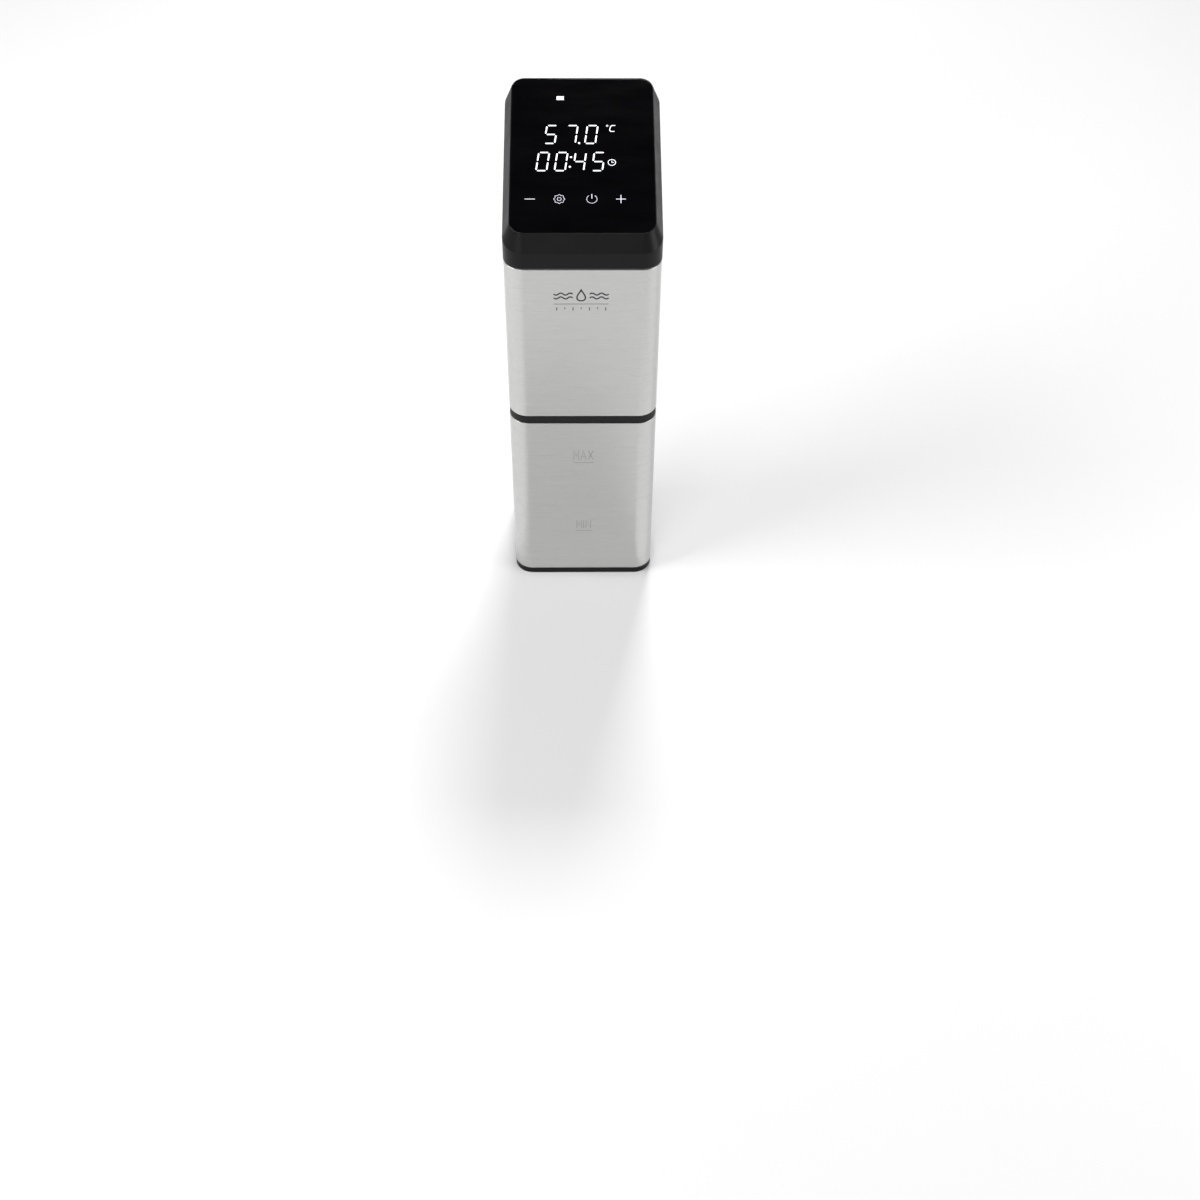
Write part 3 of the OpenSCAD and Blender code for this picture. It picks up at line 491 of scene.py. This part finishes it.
def laminated_iron():
    """A stack of thin iron sheets: a dark line between each two."""
    look = Look("laminated_iron", metallic=1.0)
    colour = COLOURS["laminated_iron"]
    sheets = look.bands(0.5 * MM)
    look.drive("Base Color", look.blend(sheets, shade(colour, 0.6), shade(colour, 1.3)))
    look.drive("Roughness", look.spread(look.noise(500), 0.4, 0.6))
    look.bump(sheets, 0.03 * MM)
    return look.material


def copper_wire():
    """Enamelled winding: parallel turns of wire, a little uneven."""
    look = Look("copper_wire", metallic=1.0)
    colour = COLOURS["copper_wire"]
    turns = look.bands(0.45 * MM, axis="X", distortion=0.6)
    look.drive("Base Color", look.blend(turns, shade(colour, 0.45), shade(colour, 1.15)))
    look.drive("Roughness", look.spread(look.noise(700), 0.22, 0.38))
    look.bump(turns, 0.08 * MM)
    return look.material


def circuit_board():
    """Green solder mask over copper: tracks in stepped runs, and rows of small tinned pads."""
    look = Look("circuit_board", specular_ior_level=0.6)
    colour = COLOURS["circuit_board"]
    axes = look.node("SeparateXYZ", {"Vector": look.place})
    up = look.plus(axes.outputs["Y"], axes.outputs["Z"])
    flat = look.node("CombineXYZ", {"X": axes.outputs["X"], "Y": up}).outputs[0]
    layout = {"Vector": flat, "Scale": 1.0, "Mortar Size": 0.25 * MM, "Mortar Smooth": 0.1,
              "Brick Width": 7.3 * MM, "Row Height": 1.9 * MM}
    runs = look.node("TexBrick", layout, offset=0.37, offset_frequency=3, squash=0.6, squash_frequency=4)
    tracks = runs.outputs["Fac"]
    spots = look.cells(1 / (2.54 * MM), vector=flat)
    pads = look.spread(spots, 1, 0, 0.16, 0.19)
    green = look.blend(tracks, shade(colour, 0.8), shade(colour, 1.7))
    look.drive("Base Color", look.blend(pads, green, (0.5, 0.5, 0.47)))
    look.drive("Roughness", look.spread(look.noise(200), 0.3, 0.42))
    look.bump(tracks, 0.03 * MM)
    look.bump(pads, 0.08 * MM)
    return look.material


def grey_ribbon():
    """Flat cable: grey cores side by side."""
    look = Look("grey_ribbon")
    colour = COLOURS["grey_ribbon"]
    cores = look.bands(1.27 * MM, axis="X")
    look.drive("Base Color", look.blend(cores, shade(colour, 0.7), shade(colour, 1.1)))
    look.drive("Roughness", look.spread(look.noise(400), 0.42, 0.55))
    look.bump(cores, 0.25 * MM)
    return look.material


def black_glass():
    """Back-printed black glass, polished, with a trace of wiping marks in its gloss."""
    look = Look("black_glass", specular_ior_level=0.2, ior=1.5)
    colour = COLOURS["black_glass"]
    wiping = look.noise(1, detail=4, vector=look.stretched(30, 90, 90))
    look.drive("Base Color", look.blend(wiping, shade(colour, 0.25), shade(colour, 0.6)))
    look.drive("Roughness", look.spread(wiping, 0.05, 0.1))
    return look.material


def display_light(name, strength, colour=(0.93, 0.96, 1.0)):
    """Light from the display behind the glass, a little uneven like real segments."""
    look = Look(name, specular_ior_level=0.0, roughness=0.5, emission_strength=strength)
    glow = look.spread(look.noise(500, detail=1), 0, 1)
    look.drive("Base Color", look.blend(glow, shade(colour, 0.5), shade(colour, 0.6)))
    look.drive("Emission Color", look.blend(glow, shade(colour, 0.92), colour))
    return look.material


def etched(name, colour, metallic):
    """Laser-etched or printed mark on the brushed steel."""
    look = Look(name, metallic=metallic, specular_ior_level=0.15)
    grain = look.noise(1, detail=3, vector=look.stretched(60, 60, 3000))
    look.drive("Base Color", look.blend(grain, shade(colour, 0.85), shade(colour, 1.15)))
    look.drive("Roughness", look.spread(grain, 0.42, 0.58))
    return look.material


def floor_look():
    """Pale matt paper with a faint cloudiness."""
    look = Look("floor", specular_ior_level=0.1)
    look.drive("Base Color", look.blend(look.noise(3), (0.83, 0.83, 0.83), (0.85, 0.85, 0.85)))
    look.drive("Roughness", look.spread(look.noise(40), 0.55, 0.65))
    return look.material


LOOKS = {
    "black_plastic": moulded("black_plastic", 0.34, tone=0.3, specular_ior_level=0.14),
    "brushed_steel": brushed_steel(),
    "bright_steel": metal("bright_steel", 0.16, lines=2500),
    "zinc_steel": metal("zinc_steel", 0.34, mottle=180, contrast=0.14),
    "heater_steel": heater_steel(),
    "black_rubber": rubber("black_rubber", 0.5, tone=0.3),
    "grey_silicone": rubber("grey_silicone"),
    "red_silicone": rubber("red_silicone"),
    "inner_plastic": moulded("inner_plastic", 0.5, contrast=0.25),
    "pale_polymer": moulded(
        "pale_polymer", 0.4, contrast=0.05, subsurface_weight=0.1, subsurface_scale=0.001,
    ),
    "black_glass": black_glass(),
    "laminated_iron": laminated_iron(),
    "copper_wire": copper_wire(),
    "brass": metal("brass", 0.2, lines=2200),
    "aluminium": metal("aluminium", 0.3, mottle=90),
    "circuit_board": circuit_board(),
    "yellow_plastic": moulded("yellow_plastic", 0.28, depth=0.004 * MM, contrast=0.08),
    "blue_plastic": moulded("blue_plastic", 0.25, depth=0.004 * MM, contrast=0.1),
    "green_plastic": moulded("green_plastic", 0.3, depth=0.004 * MM, contrast=0.1),
    "grey_ribbon": grey_ribbon(),
    "dark_screw": metal("dark_screw", 0.35, lines=1500),
}


# ---------- camera, light and floor ----------

def make_camera():
    """The photograph's viewing angle: from the front and well above, with a slight turn."""
    data = bpy.data.cameras.new("camera")
    data.sensor_width = 36
    data.lens = 50.84
    data.clip_start = 0.05
    data.clip_end = 60
    camera = bpy.data.objects.new("camera", data)
    camera.location = (-0.0007, -0.9101, 0.9151)
    camera.rotation_euler = [math.radians(a) for a in (42.453, -0.349, -0.502)]
    bpy.context.scene.collection.objects.link(camera)
    bpy.context.scene.camera = camera


def softbox(name, place, target, size, power):
    """A rectangular area light at a place, turned to a target."""
    data = bpy.data.lights.new(name, "AREA")
    data.shape = "RECTANGLE"
    data.size, data.size_y = size
    data.energy = power
    lamp = bpy.data.objects.new(name, data)
    lamp.location = place
    lamp.rotation_euler = (Vector(target) - Vector(place)).to_track_quat("-Z", "Y").to_euler()
    bpy.context.scene.collection.objects.link(lamp)


def make_world():
    """A white sweep all round, and dark above, so that the glass stays black."""
    sweep_strength, top_strength = 0.45, 0.02
    sweep_ends, top_starts = 0.72, 0.92         # heights on a sphere of radius 1
    world = bpy.data.worlds.new("studio")
    world.use_nodes = True
    tree = world.node_tree
    direction = tree.nodes.new("ShaderNodeTexCoord").outputs["Generated"]
    split = tree.nodes.new("ShaderNodeSeparateXYZ")
    height = tree.nodes.new("ShaderNodeMapRange")
    height.interpolation_type = "SMOOTHSTEP"
    height.inputs["From Min"].default_value = sweep_ends
    height.inputs["From Max"].default_value = top_starts
    height.inputs["To Min"].default_value = sweep_strength
    height.inputs["To Max"].default_value = top_strength
    tree.links.new(direction, split.inputs[0])
    tree.links.new(split.outputs["Z"], height.inputs["Value"])
    background = tree.nodes["Background"]
    background.inputs["Color"].default_value = (1, 1, 1, 1)
    tree.links.new(height.outputs[0], background.inputs["Strength"])
    bpy.context.scene.world = world


def make_floor():
    half = 6
    bm = bmesh.new()
    corners = ((-half, -half), (half, -half), (half, half), (-half, half))
    bm.faces.new([bm.verts.new((x, y, cad_low.z)) for x, y in corners])
    floor = new_object("floor", bm)
    floor.data.materials.append(floor_look())


def make_studio():
    """Four softboxes. The front and left ones are high, so that the steel doesn't mirror them."""
    middle = (cad_low + cad_high) / 2
    softbox("left_box", (-1.2, -0.3, 1.1), middle, (0.8, 0.7), 14)
    softbox("right_box", (1.3, -0.5, 0.55), middle, (0.8, 0.8), 8)
    softbox("back_box", (0.16, 1.2, 1.7), middle, (0.4, 0.4), 23)
    softbox("front_box", (-0.8, -1.9, 1.0), middle, (1.0, 0.6), 12)
    make_world()
    make_floor()
    bpy.context.scene.view_settings.view_transform = "Standard"


# ---------- steel and rubber shells ----------

def rolled_profile(low, high, thickness, edge):
    """Closed wall profile of (inset, height), with its upper and lower edges rounded."""
    steps = 6
    profile = []
    for centre_z, centre_in, start in (
        (high - edge, edge, 180), (high - edge, thickness - edge, 90),
        (low + edge, thickness - edge, 0), (low + edge, edge, -90),
    ):
        for i in range(steps + 1):
            a = math.radians(start - 90 * i / steps)
            profile.append((centre_in + edge * math.cos(a), centre_z + edge * math.sin(a)))
    return profile


def body_wall(name, low, high, profile, body, slot):
    """A wall round the body's outline, from a closed profile."""
    half_w, half_d = (high.x - low.x) / 2, (high.y - low.y) / 2
    bm = bmesh.new()
    rings = []
    for inset, z in profile:
        points = outline(half_w - inset, half_d - inset, CORNER - inset)
        rings.append([(x, y, z) for x, y in points])
    loft(bm, rings, closed=True)
    bmesh.ops.remove_doubles(bm, verts=bm.verts, dist=1e-6)
    return finish_piece(new_object(name, bm), body, LOOKS[slot], [name.replace("_shell", "")])


def back_cutters(shapes, wall_y):
    """Cutters through the back wall at wall_y: each shape is a list of points (x, z)."""
    reach = 6 * MM
    bm = bmesh.new()
    for shape in shapes:
        rings = [[(x, y, z) for x, z in shape] for y in (wall_y - reach, wall_y + reach)]
        loft(bm, rings, capped=True)
    return new_object("cutter", bm)


def long_slot(x, z, length, width):
    """Points round an upright slot with round ends."""
    steps = 10
    reach = (length - width) / 2
    upper_end = arc((x, z + reach), width / 2, 0, 180, steps)
    lower_end = arc((x, z - reach), width / 2, 180, 360, steps)
    return upper_end + lower_end


def make_skirt():
    """The skirt, with a row of inlet slots low in its back."""
    profile = rolled_profile(skirt_low.z, skirt_high.z, SHEET, SHEET / 2)
    skirt = body_wall("skirt_shell", skirt_low, skirt_high, profile, "skirt", "brushed_steel")
    middle_z = skirt_low.z + 29 * MM
    length, width, pitch = 32 * MM, 3 * MM, 6 * MM
    inlets = [long_slot(i * pitch, middle_z, length, width) for i in range(-5, 6)]
    combine(skirt, back_cutters(inlets, skirt_high.y), "DIFFERENCE")
    soften(skirt, width=0.15 * MM, angle=50)


def make_sleeve():
    """The body's steel, with four holes in its back for the clamp's screws."""
    profile = rolled_profile(sleeve_low.z, sleeve_high.z, SHEET, SHEET / 2)
    sleeve = body_wall("upper_sleeve_shell", sleeve_low, sleeve_high, profile, "unit", "brushed_steel")
    screw_x, lower_row, upper_row, hole_radius = 11 * MM, 12 * MM, 34 * MM, 1.6 * MM
    holes = []
    for x in (-screw_x, screw_x):
        for z in (sleeve_low.z + lower_row, sleeve_low.z + upper_row):
            holes.append(circle((x, z), hole_radius, 20))
    combine(sleeve, back_cutters(holes, sleeve_high.y), "DIFFERENCE")
    soften(sleeve)


def make_seal_ring():
    """The black ring between the steel parts, with soft edges."""
    profile = rolled_profile(ring_low.z, ring_high.z, thickness=2.3 * MM, edge=0.7 * MM)
    ring = body_wall("seal_ring_shell", ring_low, ring_high, profile, "unit", "black_rubber")
    soften(ring)


# ---------- head ----------

def head_ring(inset, height, tilted):
    """Points round the head's outline at an inset; a tilted ring rises to the back with the glass."""
    half_w, half_d = (head_high.x - head_low.x) / 2, (head_high.y - head_low.y) / 2
    mid_y = (head_high.y + head_low.y) / 2
    rise = math.tan(SLOPE) if tilted else 0
    points = outline(half_w - inset, half_d - inset, CORNER - inset, mid_y)
    return [(x, y, head_low.z + height + (y - head_low.y) * rise) for x, y in points]


def screw_bosses(radius, below):
    """Posts inside the head for the screws that come up through its base, or their holes."""
    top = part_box("head_base")[1].z
    bm = bmesh.new()
    for x in (head_low.x + BOSS_IN, head_high.x - BOSS_IN):
        for y in (head_low.y + BOSS_FROM_FRONT, head_high.y - BOSS_FROM_BACK):
            ring = circle((x, y), radius, 24)
            levels = (top - below, top + BOSS_HEIGHT)
            loft(bm, [[(px, py, z) for px, py in ring] for z in levels], capped=True)
    return new_object("bosses", bm)


def make_head_shell():
    """Band, chamfer, lip and recess for the glass, then the inner faces back down to the open foot."""
    origin = PANEL.translation
    top = origin.z - (origin.y - head_low.y) * math.tan(SLOPE) - head_low.z
    deep = (GLASS_THICK + GLASS_GAP) / math.cos(SLOPE)
    ledge_in = GLASS_INSET + LEDGE
    recess_in = GLASS_INSET - GLASS_GAP
    outer = [(0, BAND / 2), (0, BAND), (CHAMFER_IN, top), (recess_in, top), (recess_in, top - deep)]
    chamfer_foot, chamfer_top, lip = 1.3 * MM, 0.12 * MM, 0.1 * MM
    upper = fillet(outer, [chamfer_foot, chamfer_top, lip])
    ledge_low = top - deep - LEDGE_THICK
    inner = [(ledge_in, top - deep), (ledge_in, ledge_low), (HEAD_WALL, BAND - 1 * MM)]
    rings = [head_ring(inset, height, tilted=True) for inset, height in upper + inner]
    lower = [(HEAD_WALL, 0), (HEAD_FOOT, 0)] + arc((HEAD_FOOT, HEAD_FOOT), HEAD_FOOT, -90, -180, 4)[1:]
    rings += [head_ring(inset, height, tilted=False) for inset, height in lower]
    bm = bmesh.new()
    loft(bm, rings, closed=True)
    bmesh.ops.remove_doubles(bm, verts=bm.verts, dist=1e-7)
    shell = new_object("head_shell_cover", bm)
    combine(shell, screw_bosses(BOSS_RADIUS, 0), "UNION")
    combine(shell, screw_bosses(BOSS_HOLE, 1 * MM), "DIFFERENCE")
    gland = Vector(mounts["cord_gland"]["pos_m"])
    gland_hole = circle((gland.x, gland.z), GLAND_HOLE, 40)
    combine(shell, back_cutters([gland_hole], head_high.y), "DIFFERENCE")
    finish_piece(shell, "unit", LOOKS["black_plastic"], ["head_shell"])
    soften(shell)


def make_glass():
    """The glass panel, with a fine polished bevel round its upper edge."""
    half_w, half_l = (glass_high.x - glass_low.x) / 2, GLASS_LENGTH / 2
    bevel, lower_bevel = 0.4 * MM, 0.2 * MM
    profile = [(lower_bevel, -GLASS_THICK), (0, -GLASS_THICK + lower_bevel)]
    profile += arc((bevel, -bevel), bevel, 180, 90, 5)
    bm = bmesh.new()
    rings = []
    for inset, height in profile:
        points = outline(half_w - inset, half_l - inset, GLASS_CORNER - inset)
        rings.append([on_panel(u, v, height) for u, v in points])
    loft(bm, rings, capped=True)
    glass = new_object("touch_glass_panel", bm)
    finish_piece(glass, "unit", LOOKS["black_glass"], ["touch_glass"])
    soften(glass)


# ---------- marks on the glass ----------

DIGIT_HEIGHT = 14.4 * MM
DIGIT_WIDTH = 6.6 * MM
DIGIT_SLANT = 0.12
STROKE = 0.95 * MM              # width of a digit's bars
BAR_GAP = 0.75 * STROKE         # from a digit's corner to the end of a bar
BAR_TIP = 0.35 * STROKE         # length of the narrowing at each end of a bar
BAR_TIP_WIDTH = 0.45 * STROKE
SEGMENTS = {                    # ends of each bar in a digit one wide and two high, from its middle
    "a": ((-0.5, 1), (0.5, 1)), "b": ((0.5, 1), (0.5, 0)), "c": ((0.5, 0), (0.5, -1)),
    "d": ((-0.5, -1), (0.5, -1)), "e": ((-0.5, -1), (-0.5, 0)), "f": ((-0.5, 0), (-0.5, 1)),
    "g": ((-0.5, 0), (0.5, 0)),
}
LIT = {"0": "abcdef", "4": "bcfg", "5": "acdfg", "7": "abc"}


def digit(bm, character, middle_u, middle_v):
    """One slanted seven-segment digit, with a gap at the end of each bar."""
    for name in LIT[character]:
        ends = []
        for across, up in SEGMENTS[name]:
            v = up * DIGIT_HEIGHT / 2
            ends.append(Vector((middle_u + across * DIGIT_WIDTH + v * DIGIT_SLANT, middle_v + v)))
        along = (ends[1] - ends[0]).normalized()
        low, high = ends[0] + along * BAR_GAP, ends[1] - along * BAR_GAP
        tip = along * BAR_TIP
        path = [low, low + tip, high - tip, high]
        ribbon(bm, path, [BAR_TIP_WIDTH, STROKE, STROKE, BAR_TIP_WIDTH], on_panel)


def dot(bm, u, v, radius):
    """A round dot, drawn as a ring so wide that it closes."""
    ribbon(bm, circle((u, v), radius / 2, 12), radius, on_panel, closed=True)


def make_display():
    """The lit display: temperature, time, their signs and the status light."""
    bm = bmesh.new()
    temperature = ("570", (-20, -7, 5.7), 15.6)
    time = ("0045", (-25, -13.4, -1.8, 10), -6.1)
    for characters, places, v in (temperature, time):
        for character, u in zip(characters, places):
            digit(bm, character, u * MM, v * MM)
    decimal_point, upper_colon, lower_colon = (-2.1, 8.7), (-7.2, -2.6), (-7.9, -10.2)
    for u, v in (decimal_point, upper_colon, lower_colon):
        dot(bm, u * MM, v * MM, 0.7 * MM)
    degree = (15.8 * MM, 22.7 * MM)
    ribbon(bm, circle(degree, 0.5 * MM, 14), 0.3 * MM, on_panel, closed=True)
    letter = [(21, 22.9), (18.9, 22.9), (18, 22.2), (17.5, 20.4), (17.4, 18.9), (18, 18.1), (20.4, 18.1)]
    ribbon(bm, [(u * MM, v * MM) for u, v in letter], 0.5 * MM, on_panel)
    clock_u, clock_v = 18.5 * MM, -6.8 * MM
    ribbon(bm, circle((clock_u, clock_v), 2.35 * MM), 0.4 * MM, on_panel, closed=True)
    hands = [(clock_u, clock_v + 1.5 * MM), (clock_u, clock_v), (clock_u + 1.3 * MM, clock_v)]
    ribbon(bm, hands, 0.35 * MM, on_panel)
    light_u, light_v, half_light = -14.2 * MM, 45.3 * MM, 2.3 * MM
    ribbon(bm, [(light_u - half_light, light_v), (light_u + half_light, light_v)], 3 * MM, on_panel)
    lit = display_light("display_light", 1.15)
    finish_piece(new_object("display_digits", bm), "unit", lit)


def make_touch_symbols():
    """The four touch keys: minus, settings, power and plus."""
    bm = bmesh.new()
    row = -35.5 * MM
    line, fine_line = 0.5 * MM, 0.3 * MM
    ribbon(bm, [(-36 * MM, row), (-29.6 * MM, row)], line, on_panel)
    gear_u, gear_radius, tooth, teeth, steps = -14.5 * MM, 3.15 * MM, 0.32 * MM, 8, 96
    cog = []
    for i in range(steps):
        a = 2 * math.pi * i / steps
        reach = gear_radius + tooth * math.cos(teeth * a)
        cog.append((gear_u + reach * math.cos(a), row + reach * math.sin(a)))
    ribbon(bm, cog, fine_line, on_panel, closed=True)
    ribbon(bm, circle((gear_u, row), 1.25 * MM), fine_line, on_panel, closed=True)
    power_u = 5.8 * MM
    ribbon(bm, arc((power_u, row), 3.2 * MM, 125, 415, 40), fine_line, on_panel)
    ribbon(bm, [(power_u, row + 0.4 * MM), (power_u, row + 3.9 * MM)], line, on_panel)
    plus_u, reach = 23.9 * MM, 3.1 * MM
    ribbon(bm, [(plus_u - reach, row), (plus_u + reach, row)], line, on_panel)
    for side in (-1, 1):
        ribbon(bm, [(plus_u, row + side * line / 2), (plus_u, row + side * reach)], line, on_panel)
    lit = display_light("touch_light", 0.62, (0.86, 0.88, 1.0))
    finish_piece(new_object("touch_symbols", bm), "unit", lit)


# ---------- marks on the steel ----------

def make_emblem():
    """A plain water sign: a drop between waves, over a thin rule and a scale of short ticks."""
    bm = bmesh.new()
    middle_x, middle_z = -1 * MM, sleeve_high.z - 19.6 * MM
    line = 0.9 * MM
    half_tall, half_wide, steps = 4.2 * MM, 5 / 1.3 * MM, 40
    drop = []
    for i in range(steps):
        a = 2 * math.pi * i / steps
        x = half_wide * math.sin(a) * math.sin(a / 2) ** 1.5
        drop.append((middle_x + x, middle_z + half_tall * math.cos(a)))
    ribbon(bm, drop, line, on_front, closed=True)
    wave_start, wave_length, wave_height, waves, steps = 5.4 * MM, 12 * MM, 0.8 * MM, 2, 32
    for side in (-1, 1):
        for level in (-1.9 * MM, 1.1 * MM):
            wave = []
            for i in range(steps + 1):
                along = wave_start + wave_length * i / steps
                up = wave_height * math.sin(2 * math.pi * waves * i / steps)
                wave.append((middle_x + side * along, middle_z + level + up))
            ribbon(bm, wave, line, on_front)
    rule_z, half_rule = middle_z - 6.7 * MM, 17.4 * MM
    ribbon(bm, [(middle_x - half_rule, rule_z), (middle_x + half_rule, rule_z)], 0.3 * MM, on_front)
    tick_z, tick_pitch, long_tick, short_tick = middle_z - 9.4 * MM, 5.2 * MM, 2.4 * MM, 1.3 * MM
    for i in range(-3, 4):
        x = middle_x + i * tick_pitch
        tick_length = long_tick if i % 2 else short_tick
        ribbon(bm, [(x, tick_z), (x, tick_z - tick_length)], 0.55 * MM, on_front)
    mark = etched("emblem_print", (0.016, 0.016, 0.017), metallic=0)
    finish_piece(new_object("emblem", bm), "unit", mark)


LETTERS = {                     # strokes of each letter in a box one wide and one high
    "M": [[(0, 0), (0, 1), (0.5, 0.35), (1, 1), (1, 0)]],
    "A": [[(0, 0), (0.5, 1), (1, 0)], [(0.22, 0.36), (0.78, 0.36)]],
    "X": [[(0, 0), (1, 1)], [(0, 1), (1, 0)]],
    "I": [[(0, 0), (0, 1)]],
    "N": [[(0, 0), (0, 1), (1, 0), (1, 1)]],
}


def word(bm, text, left, low, width, height, gap, stroke):
    """Letters drawn from strokes on the steel, from a lower left corner."""
    for letter in text:
        box_w = 0 if letter == "I" else width
        for path in LETTERS[letter]:
            ribbon(bm, [(left + x * box_w, low + z * height) for x, z in path], stroke, on_front)
        left += box_w + gap


def make_level_marks():
    """The highest and lowest water level, etched faintly into the skirt, each with a rule under it."""
    bm = bmesh.new()
    stroke = 0.5 * MM
    for text, left, low, height, rule_left, rule_right, rule_down in (
        ("MAX", -6.4 * MM, skirt_high.z - 33.4 * MM, 8.6 * MM, -6.6 * MM, 7.2 * MM, 2.7 * MM),
        ("MIN", -4.6 * MM, skirt_low.z + 41.8 * MM, 7.6 * MM, -4.8 * MM, 6 * MM, 2.6 * MM),
    ):
        word(bm, text, left, low, 3.4 * MM, height, 1.6 * MM, stroke)
        ribbon(bm, [(rule_left, low - rule_down), (rule_right, low - rule_down)], stroke, on_front)
    mark = etched("level_etching", (0.36, 0.36, 0.36), metallic=1)
    finish_piece(new_object("level_marks", bm), "skirt", mark)


# ---------- the clamp's spring ----------

def make_spring():
    """Torsion spring round the pin, which winds up between a leg on the bracket and one on the lever."""
    low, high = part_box("clamp_spring")
    pin_low, pin_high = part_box("clamp_pin")
    pin = (pin_low + pin_high) / 2
    wire = 0.8 * MM
    coil = (high.y - low.y) / 2 - wire
    half = (high.x - low.x) / 2 - wire
    turns, steps = 5, 28
    reach = high.z - pin.z
    path = [Vector((-half, pin.y - coil, pin.z - reach * k)) for k in (1, 0.75, 0.5, 0.25)]
    for i in range(turns * steps + 1):
        a = 2 * math.pi * i / steps
        x = -half + 2 * half * i / (turns * steps)
        path.append(Vector((x, pin.y - coil * math.cos(a), pin.z + coil * math.sin(a))))
    path += [Vector((half, pin.y - coil, pin.z + reach * k)) for k in (0.25, 0.5, 0.75, 1)]
    bm = bmesh.new()
    tube(bm, path, wire)
    spring = new_object("clamp_spring_wire", bm)
    spring.data.materials.append(LOOKS["bright_steel"])
    smooth_faces(spring)
    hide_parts("clamp_spring")
    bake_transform(spring)


# ---------- CAD nodes that keep their shape ----------

EDGE = {                        # width of the softened edges, where it isn't the usual one
    "clamp_lever": 0.5 * MM, "clamp_bracket": 0.4 * MM, "bottom_cap": 0.4 * MM, "cord_gland": 0.5 * MM,
    "jaw_pad": 0.3 * MM, "gland_nut": 0.4 * MM, "chassis": 0.3 * MM, "partition": 0.3 * MM,
}
USUAL_EDGE = 0.15 * MM


def dress_cad_nodes():
    """Materials and softened edges for every CAD node that is still shown."""
    for part in frame["record"]["subparts"]:
        node = frame["nodes"][part["node"]]
        node.data.materials.clear()
        node.data.materials.append(LOOKS[part["material_slot"]])
        if node.hide_render:
            continue
        weld = node.modifiers.new("weld", "WELD")
        weld.merge_threshold = 1e-6
        if part["node"] == "heater_coil":
            smooth_faces(node)
            smooth = node.modifiers.new("smooth tube", "SUBSURF")
            smooth.levels = 1
            smooth.render_levels = 1
            continue
        flat = node.modifiers.new("join flat faces", "DECIMATE")
        flat.decimate_type = "DISSOLVE"
        flat.angle_limit = math.radians(0.5)
        soften(node, EDGE.get(part["node"], USUAL_EDGE))


make_camera()
make_studio()
make_skirt()
make_sleeve()
make_seal_ring()
make_head_shell()
make_glass()
make_display()
make_touch_symbols()
make_emblem()
make_level_marks()
make_spring()
dress_cad_nodes()
